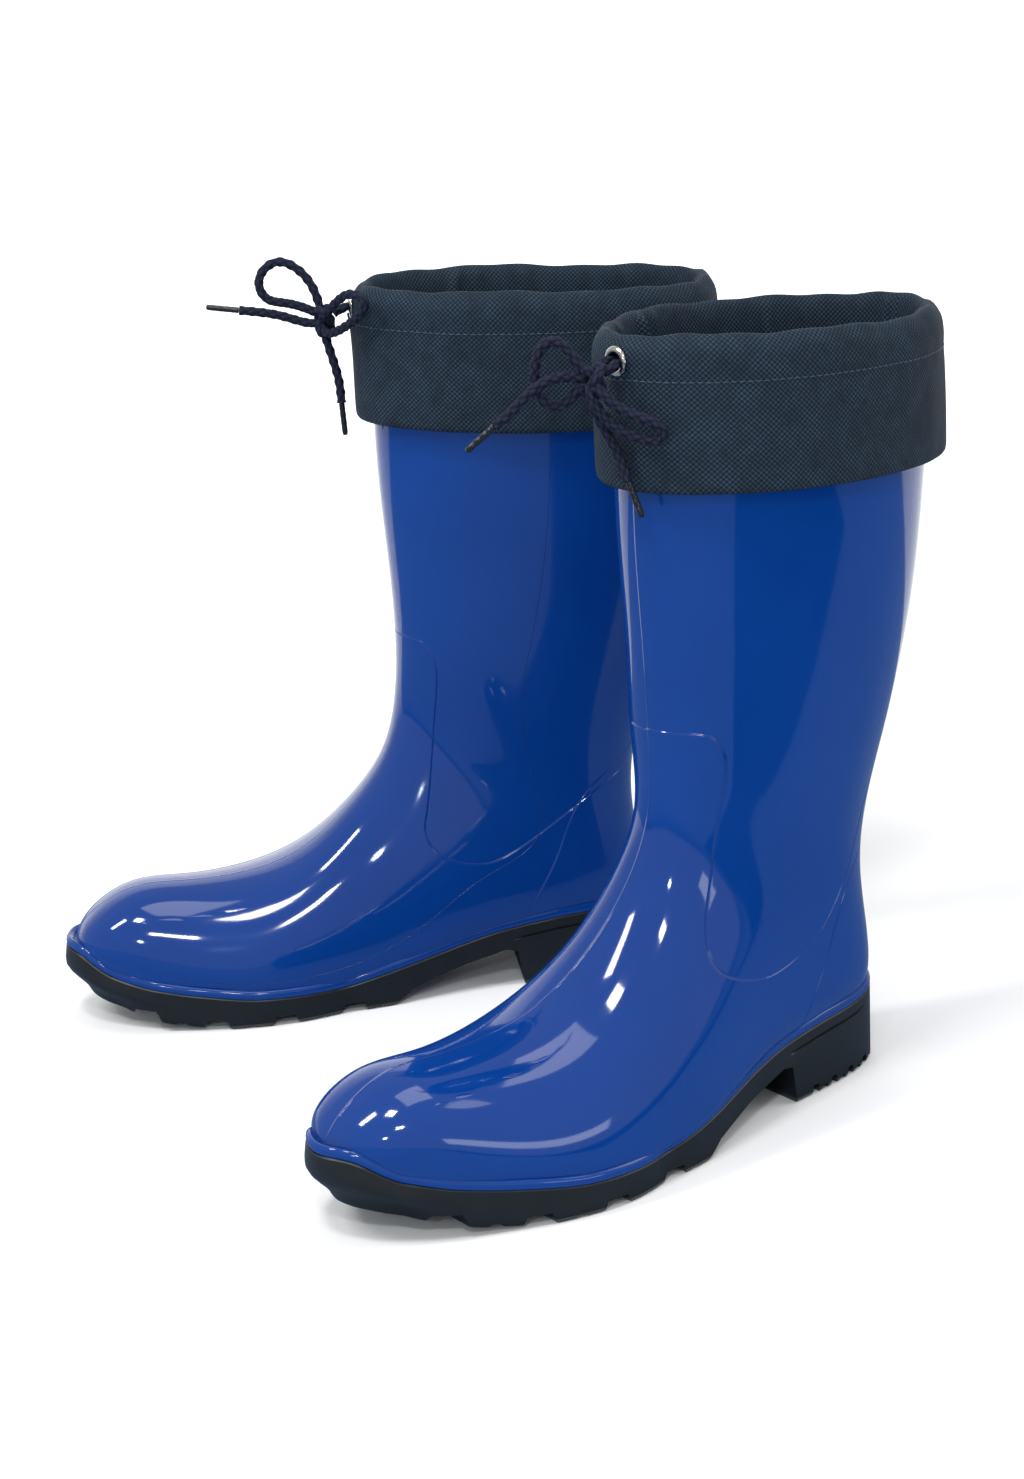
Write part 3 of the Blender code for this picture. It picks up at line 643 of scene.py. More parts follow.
def makeKnitMaterial():
    # weft-knitted cotton: matt, soft, with little columns of loops; painted shade between the loops and a painted
    # highlight on their tops
    material, tree, shader = newMaterial("weft_knit_cotton", {
        "Roughness": 0.95, "IOR": 1.5, "Sheen Weight": 0.3, "Sheen Roughness": 0.6})
    spread = addNode(tree, "UVMap", {}).outputs["UV"]
    parts = addNode(tree, "SeparateXYZ", {}, {"Vector": spread}).outputs
    # a loop leans one way on the left of its column and the other way on the right
    column = addNode(tree, "Math", {"operation": "MULTIPLY", 1: math.tau / knit["wale"]},
                     {0: parts["X"]}).outputs[0]
    wale = addNode(tree, "Math", {"operation": "COSINE"}, {0: column}).outputs[0]
    lean = addNode(tree, "Math", {"operation": "MULTIPLY", 1: 1.6}, {0: wale}).outputs[0]
    row = addNode(tree, "Math", {"operation": "MULTIPLY", 1: math.tau / knit["course"]},
                  {0: parts["Y"]}).outputs[0]
    leaning = addNode(tree, "Math", {"operation": "ADD"}, {0: row, 1: lean}).outputs[0]
    loop = addNode(tree, "Math", {"operation": "SINE"}, {0: leaning}).outputs[0]
    both = addNode(tree, "Math", {"operation": "ADD"}, {0: loop, 1: wale}).outputs[0]
    height = addNode(tree, "MapRange", {"From Min": -2.0, "From Max": 2.0},
                     {"Value": both}).outputs["Result"]
    # the loops' height also sets the colour, as painted shade and painted highlight
    finishSurface(tree, shader, height, 0.7, 0.5 * mm, height, knit["dark"], knit["light"])
    return material


knitMaterial = makeKnitMaterial()


def liningSpread(points):
    # millimetres round and up the shaft, and along the foot
    angle = np.arctan2(points[:, 0], points[:, 1] - 55)
    return np.column_stack([angle * 55, points[:, 2] - points[:, 1] * 0.6])


liningPoints, liningFaces = wallBetween(liningOutside, liningInside)
for side in sides:
    lining = addPiece(side, "knit_lining", liningPoints, liningFaces, knitMaterial, "boot",
                      liningSpread(liningPoints))
    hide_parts(f"{side}_lining")
print("linings made")


# Rim bead round the foot, and the outsole under it
sole = {
    "rimLine": ((-196, 45), (-186, 44.5), (-181, 42.5), (-177, 38.5), (-173, 32.5),
                (-168, 27.5), (-152, 22), (-135, 18.5), (-103, 14), (-60, 13), (-20, 21),
                (15, 29), (47, 33), (75, 34), (95, 37)),
    "toeCentre": -148, "heelCentre": 56, "sideStations": 90, "endStations": 30,
    "wall": 3.0, "searches": 6, "castFrom": 300, "castBelow": -50,
    "beadOut": 3.3, "beadHigh": 4.2,
    # share of the bead's reach (or millimetres inward), and share of its height
    "beadProfile": ((-1.2, -0.2), (0.75, -0.05), (0.95, 0.12), (1.0, 0.4), (0.93, 0.7),
                    (0.7, 0.92), (0.42, 1.0), (0.2, 0.94), (0.1, 0.8), (-1.2, 0.8)),
    "toeSpring": ((-200, 17), (-170, 10), (-145, 4), (-118, 0)), "toeTuck": 9, "bumper": 1.6,
    "arch": ((-38, -1), (-27, 7), (-4, 14), (20, 19.5), (26, 18), (29, -1)),
    # slots across the tread: their places, widths at the foot and at the top, and depth
    "slots": (((-155, -122, -89, -56), 13.5, 9.5, 4.5),
              ((-138.5, -105.5, -72.5, -44.5), 6, 3.5, 1.4),
              ((41, 53, 65, 77), 5.2, 3.4, 4.5), ((47, 59, 71, 83), 5.2, 3.4, 2.4)),
    "halfWidth": 75, "heelLine": 5.6, "heelLineDepth": 1.0, "heelFront": (22, 30),
    "cutRings": 80, "cutAround": 64, "cutGap": 0.2,
    "spurHeights": (30, 59), "spurWide": 6.5, "spurOut": 4.0, "spurRings": 17, "spurAround": 14,
    "black": "#0B0D0E", "dusty": "#171A1C",
}
footTree = BVHTree.FromPolygons(*[part.tolist() if hasattr(part, "tolist") else part
                                  for part in closedToe(grid)])
centres = sorted(((f[0] + b[0]) / 2, rest[-1]) for f, b, *rest in boot["sections"][:8])


def centreLine(y):
    return float(np.interp(y, *zip(*centres)))


def heightAt(line, y):
    return float(np.interp(y, *zip(*line)))


def toward(pivot, flat):
    # where the foot's surface is, out from a point inside it
    start = Vector(pivot) + flat * sole["castFrom"]
    hit = footTree.ray_cast(start, -flat)[0]
    return hit if hit is not None else Vector(pivot)


def underside(x, y):
    return footTree.ray_cast(Vector((x, y, sole["castBelow"])), Vector((0, 0, 1)))[0].z


def footStations():
    # a point on the foot's centre line and a direction, all round the foot
    half = []
    for i in range(sole["endStations"]):
        angle = math.pi / 2 * i / sole["endStations"]
        half.append((sole["toeCentre"], (math.sin(angle), -math.cos(angle))))
    for y in np.linspace(sole["toeCentre"], sole["heelCentre"], sole["sideStations"]):
        half.append((float(y), (1.0, 0.0)))
    for i in range(1, sole["endStations"] + 1):
        angle = math.pi / 2 * i / sole["endStations"]
        half.append((sole["heelCentre"], (math.cos(angle), math.sin(angle))))
    return half + [(y, (-dx, dy)) for y, (dx, dy) in reversed(half[1:-1])]


def measureRim():
    rim = []
    for y, direction in footStations():
        flat = Vector((*direction, 0))
        centre = centreLine(y)
        floor = height = underside(centre, y)
        for _ in range(sole["searches"]):
            hit = toward((centre, y, height), flat)
            height = height + (heightAt(sole["rimLine"], hit.y) - height) * 0.7
        hit = toward((centre, y, height), flat)
        levels = [toward((centre, y, height + (floor - height) * share), flat)
                  for share in (0, 0.25, 0.5, 0.75)]
        reach = max((level.xy - Vector((centre, y))).length for level in levels)
        rim.append((centre, y, flat, height, hit, reach + sole["wall"]))
    return rim


rim = measureRim()


def evened(values, passes=3):
    # neighbours on a closed ring, averaged a little
    values = np.array(values, float)
    for _ in range(passes):
        values = (np.roll(values, 1, axis=0) + 2 * values + np.roll(values, -1, axis=0)) / 4
    return values


rimHeight = evened([r[3] for r in rim], 2)
rimReach = evened([r[5] for r in rim], 4)


def beadMesh():
    # a rounded lip that stands out over the sole's edge
    points, profile = [], sole["beadProfile"]
    for (centre, y, flat, _, hit, _), height, reach in zip(rim, rimHeight, rimReach):
        skin = (hit.xy - Vector((centre, y))).length
        for out, up in profile:
            lip = out * sole["beadOut"] if out > 0 else out
            distance = skin + lip + (reach - skin - sole["beadOut"]) * max(out, 0) * 0.8
            points.append((centre + flat.x * distance, y + flat.y * distance,
                           height + 0.15 + up * sole["beadHigh"]))
    count, width = len(rim), len(profile)
    faces = [(i * width + k, (i + 1) % count * width + k,
              (i + 1) % count * width + (k + 1) % width, i * width + (k + 1) % width)
             for i in range(count) for k in range(width)]
    return points, faces


def spurMesh():
    # a rib up the heel's back, which the bead runs into
    points, rows, around = [], sole["spurRings"], sole["spurAround"]
    (low, high), heel = sole["spurHeights"], sole["heelCentre"]
    for r in range(rows):
        t = r / (rows - 1)
        z = low + (high - low) * t
        back = toward((centreLine(heel), heel, z), Vector((0, 1, 0))).y
        out = sole["spurOut"] * math.sin(math.pi * min(1, 1 - 0.65 * t)) * (1 - t ** 3)
        wide = sole["spurWide"] * (1 - 0.75 * t)
        for a in range(around):
            angle = math.tau * a / around
            points.append((centreLine(heel) + 1.0 - wide * math.sin(angle),
                           back + (out + 1.0) * math.cos(angle) - 0.6, z))
    faces = gridFaces(rows, around)
    faces.append(tuple(reversed(range(around))))
    faces.append(tuple(range((rows - 1) * around, rows * around)))
    return points, faces


def soleRow(station, height, reach):
    centre, y, flat = station[:3]
    toeward = max(0.0, -flat.y)
    tuck = sole["toeTuck"] * toeward
    edge = heightAt(sole["toeSpring"], y + flat.y * (reach - tuck))
    drop = height - edge
    heelward = float(smoothStep(*sole["heelFront"], y + flat.y * reach))
    line, deep = sole["heelLine"], sole["heelLineDepth"] * heelward
    below = [(0, -0.5), (0.5, 0), (line - 0.8, 0), (line - 0.5, -deep), (line + 0.3, -deep),
             (line + 0.7, 0)]
    rest = np.linspace(line + 0.9, drop - 1.6, 7)
    below += [(float(b), 0) for b in rest[1:]] + [(drop - 0.7, -0.35), (drop - 0.15, -1.0),
                                                  (drop, -1.8)]
    row = [(centre, y, heightAt(sole["rimLine"], y))]
    for down, out in below:
        t = down / drop
        under = float(smoothStep(0.3, 1.0, t)) * tuck
        bulge = sole["bumper"] * toeward ** 0.6 * math.exp(-((t - 0.38) / 0.3) ** 2)
        distance = reach + out - under + bulge
        row.append((centre + flat.x * distance, y + flat.y * distance, height - down))
    for share in (0.9, 0.78, 0.6, 0.4, 0.2, 0):
        distance = (reach - 1.8 - tuck) * share
        py = y + flat.y * distance
        row.append((centre + flat.x * distance, py, heightAt(sole["toeSpring"], py)))
    return row


def joinedMesh(name, parts):
    # one mesh object from several closed shapes
    points, faces = [], []
    for more, other in parts:
        faces += [tuple(len(points) + i for i in face) for face in other]
        points += [tuple(p) for p in more]
    data = bpy.data.meshes.new(name)
    data.from_pydata(points, [], faces)
    shape = bmesh.new()
    shape.from_mesh(data)
    bmesh.ops.remove_doubles(shape, verts=shape.verts, dist=0.02)        # millimetres
    bmesh.ops.recalc_face_normals(shape, faces=shape.faces)
    shape.to_mesh(data)
    shape.free()
    holder = bpy.data.objects.new(name, data)
    bpy.context.scene.collection.objects.link(holder)
    return holder


def prism(outline):
    # an outline in the side view, drawn right across the sole
    n, wide = len(outline), sole["halfWidth"]
    points = [(x, y, z) for x in (-wide, wide) for y, z in outline]
    faces = [tuple(range(n)), tuple(range(2 * n - 1, n - 1, -1))]
    faces += [(n + i, n + (i + 1) % n, (i + 1) % n, i) for i in range(n)]
    return points, faces


def treadSlot(y, foot, top, deep):
    ground = heightAt(sole["toeSpring"], y)
    flare = foot / 2 + (foot - top) / 2 * 2 / deep
    return prism([(y - flare, ground - 2), (y + flare, ground - 2), (y + foot / 2, ground),
                  (y + top / 2, ground + deep), (y - top / 2, ground + deep),
                  (y - foot / 2, ground)])


def makeSoleMesh():
    rows = [soleRow(s, float(h), float(d)) for s, h, d in zip(rim, rimHeight, rimReach)]
    count, width = len(rows), len(rows[0])
    faces = [(i * width + k, i * width + k + 1, (i + 1) % count * width + k + 1,
              (i + 1) % count * width + k) for i in range(count) for k in range(width - 1)]
    block = joinedMesh("sole_block", [([p for row in rows for p in row], faces)])
    rings, around = sole["cutRings"], sole["cutAround"]
    coarse = bootGrid(rings, around)[0]
    points, faces = closedToe(coarse + outwardOf(coarse) * sole["cutGap"])
    faces.append(tuple(range((rings - 1) * around, rings * around)))
    slots = [treadSlot(y, *shape) for spots, *shape in sole["slots"] for y in spots]
    cuts = [joinedMesh("foot_cut", [(points, faces)]),
            joinedMesh("arch_cut", [prism(sole["arch"])]), joinedMesh("tread_cut", slots)]
    for cut in cuts:
        step = block.modifiers.new("cut", "BOOLEAN")
        step.solver, step.object, step.operation = "EXACT", cut, "DIFFERENCE"
    graph = bpy.context.evaluated_depsgraph_get()
    finished = block.evaluated_get(graph).to_mesh()
    points = [tuple(v.co) for v in finished.vertices]
    faces = [tuple(p.vertices) for p in finished.polygons]
    for holder in [block] + cuts:
        bpy.data.objects.remove(holder, do_unlink=True)
    return points, faces


def makeSoleMaterial():
    # PVC of a harder grade from a spark-eroded mould: a satin black with a fine, even grain
    material, tree, shader = newMaterial("spark_grained_pvc", {"IOR": 1.53})
    place = addNode(tree, "TexCoord", {}).outputs["Object"]
    # real grain is about 0.15 mm; drawn at 0.6 mm so that it shows
    grain = addNode(tree, "TexNoise", {"Scale": perMetre(0.6), "Detail": 2.0},
                    {"Vector": place}).outputs["Fac"]
    dust = addNode(tree, "TexNoise", {"Scale": perMetre(18), "Detail": 5.0, "Roughness": 0.65},
                   {"Vector": place}).outputs["Fac"]
    finishSurface(tree, shader, grain, 0.5, 0.1 * mm, dust, sole["black"], sole["dusty"])
    matt = addNode(tree, "MapRange", {"To Min": 0.3, "To Max": 0.5}, {"Value": dust})
    tree.links.new(matt.outputs["Result"], shader.inputs["Roughness"])
    return material


soleMaterial = makeSoleMaterial()
solePoints, soleFaces = makeSoleMesh()
for side in sides:
    outsole = addPiece(side, "cleated_outsole", solePoints, soleFaces, soleMaterial, "boot")
    outsole.data.set_sharp_from_angle(angle=math.radians(32))
    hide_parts(f"{side}_outsole")
    for name, (points, faces) in (("rim_bead", beadMesh()), ("heel_spur", spurMesh())):
        bead = addPiece(side, name, points, faces, pvcMaterial, "boot")
        for values in upperValues:
            keepValues(bead, values, np.full(len(points), float(mouldLines["far"])))
print("soles and rims made")


# Insole: its CAD shape is right, and gets a felted surface
felt = {"fibre": 1.4, "dark": "#4A4E50", "light": "#8A8E90"}


def makeFeltMaterial():
    # needle-punched polyester felt: matt, with fibres lying every way
    material, tree, shader = newMaterial("needle_punched_felt", {
        "Roughness": 0.97, "IOR": 1.5, "Sheen Weight": 0.35, "Sheen Roughness": 0.5})
    place = addNode(tree, "TexCoord", {}).outputs["Object"]
    fibre = addNode(tree, "TexNoise", {"Scale": perMetre(felt["fibre"]), "Detail": 6.0,
                                       "Roughness": 0.7, "Distortion": 1.5},
                    {"Vector": place}).outputs["Fac"]
    finishSurface(tree, shader, fibre, 0.8, 0.6 * mm, fibre, felt["dark"], felt["light"])
    return material


feltMaterial = makeFeltMaterial()
for side in sides:
    frame["nodes"][f"{side}_insole"].data.materials[0] = feltMaterial
print("insoles finished")


# Collar: one piece of coated basket-weave cloth per boot, folded over the cord at its top
collar = {
    "middleY": 54.75, "halfLong": 78.75, "halfWide": 48,
    "bottom": (280, 273), "top": (341, 335),   # heights at the front and at the back
    "columns": 300, "rowStep": 1.3, "thick": 0.8,
    "foldTall": 61,                            # height over which the fold's length is measured
    # distance out from the shaft, and share of the collar's height, from the inner hem up,
    # over the top and down to the outer hem, which is turned under
    "fold": ((-5.3, 0.08), (-5.2, 0.2), (-4.8, 0.36), (-4.2, 0.55), (-3.7, 0.74), (-3.2, 0.86),
             (-2.2, 0.94), (-0.8, 0.985), (0.8, 1.0), (2.6, 0.985), (4.4, 0.945), (5.8, 0.89),
             (6.35, 0.80), (6.2, 0.72), (6.5, 0.62), (6.8, 0.45), (7.0, 0.28), (7.1, 0.12),
             (7.0, 0.035), (6.3, 0.0), (5.2, 0.01), (4.6, 0.05), (4.3, 0.12), (3.6, 0.2)),
    "stitchShare": 0.722, "stitch": 3.3, "threadRadius": 0.32, "hole": 3.9,
    # wrinkles: angles in radians round the collar, heights in millimetres
    "waves": (3, 5, 8, 11, 15, 19), "waveHigh": 0.28,
    "pleats": 16, "pleatWide": (0.025, 0.06), "pleatDeep": (1.0, 2.8),
    "puckers": 12, "puckerWide": (0.03, 0.07),
    "eyeletCreases": ((0.28, 0.9), (-0.3, 0.8), (0.02, 0.5)),      # lean and height
    "dips": ((3, 1, 0.6), (7, 2.2, 0.45), (17, 0, 0.3)),           # waves, phase and height
    "thread": 1.05,                            # a pair of yarns is 1.05 mm wide
    # the raised colour is a painted highlight on the raised yarn; the base is the cloth's navy, which also stands
    # for painted shade in the gaps
    "base": "#0D1926", "raisedHighlight": "#31495B",
}


def collarHeight(share, backness):
    low = collar["bottom"][0] + (collar["bottom"][1] - collar["bottom"][0]) * (backness + 1) / 2
    high = collar["top"][0] + (collar["top"][1] - collar["top"][0]) * (backness + 1) / 2
    return low + (high - low) * share


def wrinkles(turn, share, distance, side):
    # how far the soft cloth stands out of its even fold, in millimetres
    chance = np.random.default_rng(7 if side == "left" else 23)
    out = np.zeros(np.broadcast(turn, share).shape)
    for waves in collar["waves"]:              # slow waves round the collar
        phase, lean, size = chance.uniform(0, math.tau), chance.uniform(-2, 2), chance.normal()
        out += collar["waveHigh"] * size * np.sin(waves * turn + lean * share * 2 + phase)
    inside = smoothStep(0.5, -2.5, distance)
    pleats = np.zeros_like(out)
    for _ in range(collar["pleats"]):          # upright folds of the slack inner layer
        at, wide = chance.uniform(0, math.tau), chance.uniform(*collar["pleatWide"])
        size = chance.uniform(*collar["pleatDeep"])
        away = np.angle(np.exp(1j * (turn - at - chance.normal() * 0.15 * (share - 0.6))))
        pleats -= size * np.exp(-(away / wide) ** 2) * smoothStep(0.2, 0.8, share)
    out += inside * pleats
    for _ in range(collar["puckers"]):         # small puckers that the stitching pulls in
        at, wide = chance.uniform(0, math.tau), chance.uniform(*collar["puckerWide"])
        away = np.angle(np.exp(1j * (turn - at)))
        drop = (share - collar["stitchShare"]) / 0.09
        out += (1 - inside) * chance.uniform(-0.5, 0.3) * np.exp(-(away / wide) ** 2 - drop ** 2)
    # creases that run from the eyelet down and to both sides
    for lean, size in collar["eyeletCreases"]:
        away = np.angle(np.exp(1j * (turn - math.pi)))
        line = (away - lean * (0.84 - share)) / (0.035 + 0.08 * (0.9 - share))
        out += (1 - inside) * size * np.exp(-line ** 2) * smoothStep(0.3, 0.8, share) \
            * smoothStep(0.95, 0.8, share)
    return out


def collarSurface(side):
    # the middle of the cloth: rows from the inner hem to the outer one, columns from the back
    tall = collar["foldTall"]
    fold = evenPoints([(d, s * tall, 0) for d, s in collar["fold"]], collar["rowStep"])
    distance, share = fold[:, :1], fold[:, 1:2] / tall
    turn = np.linspace(0, math.tau, collar["columns"] + 1)[None]
    across, backness = np.sin(turn), np.cos(turn)
    nx, ny = across / collar["halfWide"], backness / collar["halfLong"]
    size = np.hypot(nx, ny)
    reach = distance + wrinkles(turn, share, distance, side)
    reach = np.where(share < 0.16, np.maximum(reach, distance * 0.75), reach)
    dip = sum(high * np.sin(waves * turn + phase) for waves, phase, high in collar["dips"])
    x = collar["halfWide"] * across + nx / size * reach
    y = collar["middleY"] + collar["halfLong"] * backness + ny / size * reach
    z = collarHeight(share, backness) + dip * smoothStep(0.75, 1.0, share)
    around = np.append(0, np.cumsum(np.hypot(np.diff(collar["halfWide"] * across[0]),
                                             np.diff(collar["halfLong"] * backness[0]))))
    down = np.append(0, np.cumsum(np.linalg.norm(np.diff(fold, axis=0), axis=1)))
    return np.stack([x, y, z], axis=2), fold, around, down


def makeClothMaterial():
    # coated polyester in a 2 by 2 basket weave: matt navy, with a painted highlight on the raised pairs of yarn
    # and painted shade in the gaps, which read as rows of small dots; the painted highlight varies in patches
    material, tree, shader = newMaterial("basket_weave_polyester", {
        "Roughness": 0.72, "IOR": 1.5, "Specular IOR Level": 0.2})
    spread = addNode(tree, "UVMap", {}).outputs["UV"]
    parts = addNode(tree, "SeparateXYZ", {}, {"Vector": spread}).outputs
    waves = []
    for axis in ("X", "Y"):
        turn = addNode(tree, "Math", {"operation": "MULTIPLY", 1: math.pi / collar["thread"]},
                       {0: parts[axis]}).outputs[0]
        waves.append(addNode(tree, "Math", {"operation": "SINE"}, {0: turn}).outputs[0])
    checks = addNode(tree, "Math", {"operation": "MULTIPLY"}, dict(enumerate(waves))).outputs[0]
    height = addNode(tree, "MapRange", {"interpolation_type": "SMOOTHSTEP", "From Min": -0.6,
                                        "From Max": 0.8}, {"Value": checks}).outputs["Result"]
    place = addNode(tree, "TexCoord", {}).outputs["Object"]
    patchiness = addNode(tree, "TexNoise", {"Scale": perMetre(9), "Detail": 5.0, "Roughness": 0.6},
                   {"Vector": place}).outputs["Fac"]
    yarn = addNode(tree, "TexNoise", {"Scale": perMetre(0.9), "Detail": 2.0},
                   {"Vector": place}).outputs["Fac"]
    patch = addNode(tree, "MapRange", {"From Min": 0.3, "From Max": 0.7, "To Min": 0.35,
                                       "To Max": 1.0}, {"Value": patchiness}).outputs["Result"]
    uneven = addNode(tree, "MapRange", {"To Min": 0.3, "To Max": 1.4},
                     {"Value": yarn}).outputs["Result"]
    # painted highlight on the raised yarn, stronger in some patches than in others and uneven from yarn to yarn
    highlightMask = height
    for share in (patch, uneven):
        highlightMask = addNode(tree, "Math", {"operation": "MULTIPLY"}, {0: highlightMask, 1: share}).outputs[0]
    finishSurface(tree, shader, height, 0.9, 0.35 * mm, highlightMask, collar["base"], collar["raisedHighlight"])
    return material


def makeThreadMaterial():
    # bonded nylon sewing thread: smooth, a little lighter than the cloth
    material, tree, shader = newMaterial("bonded_nylon_thread", {
        "Base Color": linear("#2B3D50"), "Roughness": 0.5, "IOR": 1.53})
    place = addNode(tree, "TexCoord", {}).outputs["Object"]
    twist = addNode(tree, "TexNoise", {"Scale": perMetre(0.4)}, {"Vector": place})
    finishSurface(tree, shader, twist.outputs["Fac"], 0.5, 0.1 * mm)
    return material


clothMaterial = makeClothMaterial()
threadMaterial = makeThreadMaterial()


def plainTube(path, radius, sides=6):
    across, up = framesAlong(path)
    angle = math.tau * np.arange(sides) / sides
    ends = np.sqrt(np.clip(1 - np.linspace(-1, 1, len(path)) ** 4, 0.05, 1))[:, None, None]
    ring = (across[:, None] * np.cos(angle)[None, :, None]
            + up[:, None] * np.sin(angle)[None, :, None])
    return (path[:, None] + ring * radius * ends).reshape(-1, 3), gridFaces(len(path), sides)


def makeCollar(side):
    middle, fold, around, down = collarSurface(side)
    rows, columns = middle.shape[:2]
    normal = unit(np.cross(np.gradient(middle, axis=1), np.gradient(middle, axis=0)))
    normal[:, 0] = normal[:, -1] = unit(normal[:, 0] + normal[:, -1])
    face, back = middle + normal * collar["thick"] / 2, middle - normal * collar["thick"] / 2
    points = np.vstack([face.reshape(-1, 3), back[::-1].reshape(-1, 3), face[:1].reshape(-1, 3)])
    spread = np.stack(np.meshgrid(around, down), axis=2)
    spread = np.vstack([spread.reshape(-1, 2), spread[::-1].reshape(-1, 2),
                        spread[:1].reshape(-1, 2)])
    faces = gridFaces(2 * rows + 1, columns, closed=False)
    eye = np.array(bow["eyelet"], float)
    centre = points[np.array(faces)].mean(axis=1) - eye
    hole = (np.hypot(centre[:, 0], centre[:, 2]) < collar["hole"]) & (centre[:, 1] < 5)
    faces = [f for f, gone in zip(faces, hole) if not gone]
    cloth = addPiece(side, "folded_collar", points, faces, clothMaterial, "boot", spread)
    mergeMeeting(cloth)
    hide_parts(f"{side}_collar_outer", f"{side}_collar_inner")
    # stitches that hold the cord's channel
    row = int(np.argmin(np.abs(fold[:, 1] / collar["foldTall"] - collar["stitchShare"])
                        + 10 * (fold[:, 0] < 0)))
    line, out = face[row], normal[row]
    lengths = np.append(0, np.cumsum(np.linalg.norm(np.diff(line, axis=0), axis=1)))
    parts, faces = [], []
    count = int(lengths[-1] / collar["stitch"])
    for i in range(count):
        at = (i + np.linspace(0.12, 0.88, 6)) * lengths[-1] / count
        path = np.stack([np.interp(at, lengths, line[:, k] + out[:, k] * 0.02)
                         for k in range(3)], axis=1)
        more, other = plainTube(path, collar["threadRadius"])
        faces += [tuple(len(parts) * len(more) + v for v in f) for f in other]
        parts.append(more)
    thread = addPiece(side, "channel_stitches", np.vstack(parts), faces, threadMaterial, "boot")
    width, length = around[-1] * mm, down[-1] * mm
    return width, length


for side in sides:
    print(side, "collar cut to", [round(v, 3) for v in makeCollar(side)], "m")


# The part of the drawstring inside the collar's channel, with its ends at the eyelet
channelCord = {
    "turn": (194, 526, 4),                     # from, to and step, in degrees from the back
    "below": 10, "radius": 2.2, "step": 0.9, "around": 18,
}


def makeChannelCord(side):
    start, end, step = channelCord["turn"]
    turn = np.radians(np.append(np.arange(start, end + 1, step), end))    # the end comes twice
    across, backness = np.sin(turn), np.cos(turn)
    nx, ny = across / collar["halfWide"], backness / collar["halfLong"]
    size = np.hypot(nx, ny)
    route = np.stack([collar["halfWide"] * across - 0.1 * nx / size,
                      collar["middleY"] + collar["halfLong"] * backness - 0.1 * ny / size,
                      collarHeight(1, backness) - channelCord["below"]], axis=1)
    path = evenPoints(route, channelCord["step"])
    points, faces, height = braidedTube(path, channelCord["radius"], channelCord["around"])
    piece = addPiece(side, "braid_channel", points, faces, braidMaterial, "boot")
    keepValues(piece, "braidHeight", height)
    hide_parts(f"{side}_drawstring_channel")


# Eyelets: pressed brass with a bright nickel plate
eyelet = {"around": 64, "profile": (
    (3.4, 2.6), (3.4, 0.2), (3.5, -0.45), (3.85, -0.95), (4.5, -1.2), (5.2, -1.1),
    (5.8, -0.75), (6.15, -0.25), (6.15, 0.15), (5.9, 0.3), (4.1, 0.3), (4.1, 2.6))}


def makeNickelMaterial():
    # bright nickel plate on pressed brass: warm silver, polished, with faint rubbing marks
    material, tree, shader = newMaterial("bright_nickel_plate", {
        "Base Color": linear("#D2CDC3"), "Metallic": 1.0})
    place = addNode(tree, "TexCoord", {}).outputs["Object"]
    rub = addNode(tree, "TexNoise", {"Scale": perMetre(1.5), "Detail": 4.0}, {"Vector": place})
    dull = addNode(tree, "MapRange", {"To Min": 0.1, "To Max": 0.26},
                   {"Value": rub.outputs["Fac"]})
    tree.links.new(dull.outputs["Result"], shader.inputs["Roughness"])
    return material


nickelMaterial = makeNickelMaterial()
for side in sides:
    makeChannelCord(side)
    eye, points = bow["eyelet"], []
    for radius, deep in eyelet["profile"]:
        for a in range(eyelet["around"]):
            angle = math.tau * a / eyelet["around"]
            points.append((eye[0] + radius * math.cos(angle), eye[1] + deep,
                           eye[2] + radius * math.sin(angle)))
    faces = gridFaces(len(eyelet["profile"]), eyelet["around"])
    last, n = (len(eyelet["profile"]) - 1) * eyelet["around"], eyelet["around"]
    faces += [(last + a, last + (a + 1) % n, (a + 1) % n, a) for a in range(n)]
    ring = addPiece(side, "pressed_eyelet", points, faces, nickelMaterial, "boot")
    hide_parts(f"{side}_eyelet")
    frame["nodes"][f"{side}_eyelet_washer"].data.materials[0] = nickelMaterial
print("collars and eyelets made")


# Floor, backdrop and lamps
stage = {"floor": "#FCFCFC", "world": "#FFFFFF", "worldStrength": 0.5,
         "halfWide": 4.0, "front": -3.0, "rows": 24, "rowStep": 0.28, "bendFrom": 0.45}
lamps = (
    # name, azimuth from +X and height angle of its place, distance, width, height, watts, colour
    ("tall_strip", -98, 50, 1.5, 0.16, 0.45, 7, "#FFFFFF"),
    ("high_window", -62, 66, 1.7, 0.3, 0.22, 8, "#FFFFFF"),
    ("front_window", -27, 41, 1.6, 0.2, 0.12, 4, "#FFFFFF"),
    ("round_flash", -41, 24, 1.5, 0.13, 0.13, 2, "#E4F6FF"),
    ("right_panel", 62, 42, 1.8, 0.8, 1.0, 6, "#FFFFFF"),
    ("low_glow", 12, 8, 1.6, 0.5, 0.2, 1.2, "#F4F8FF"),
    ("overhead", 100, 84, 2.2, 1.0, 1.0, 9, "#FFFFFF"),
    ("backdrop_wash", 154, 62, 1.4, 2.4, 0.6, 26, "#FFFFFF"),
)
cards = (
    # cards laid on the floor and seen only in the gloss: colour, height, corners in metres
    ("grey_card", "#73869F", 0.002, ((-4, -4), (4, -4), (4, 4), (-4, 4))),
    ("dark_card", "#0A0D12", 0.004, ((0.33, 0.02), (1.5, -0.1), (1.9, 1.1), (0.62, 0.75))),
)
washAim = (-2.4, 1.2, 1.0)         # the backdrop, behind the boots


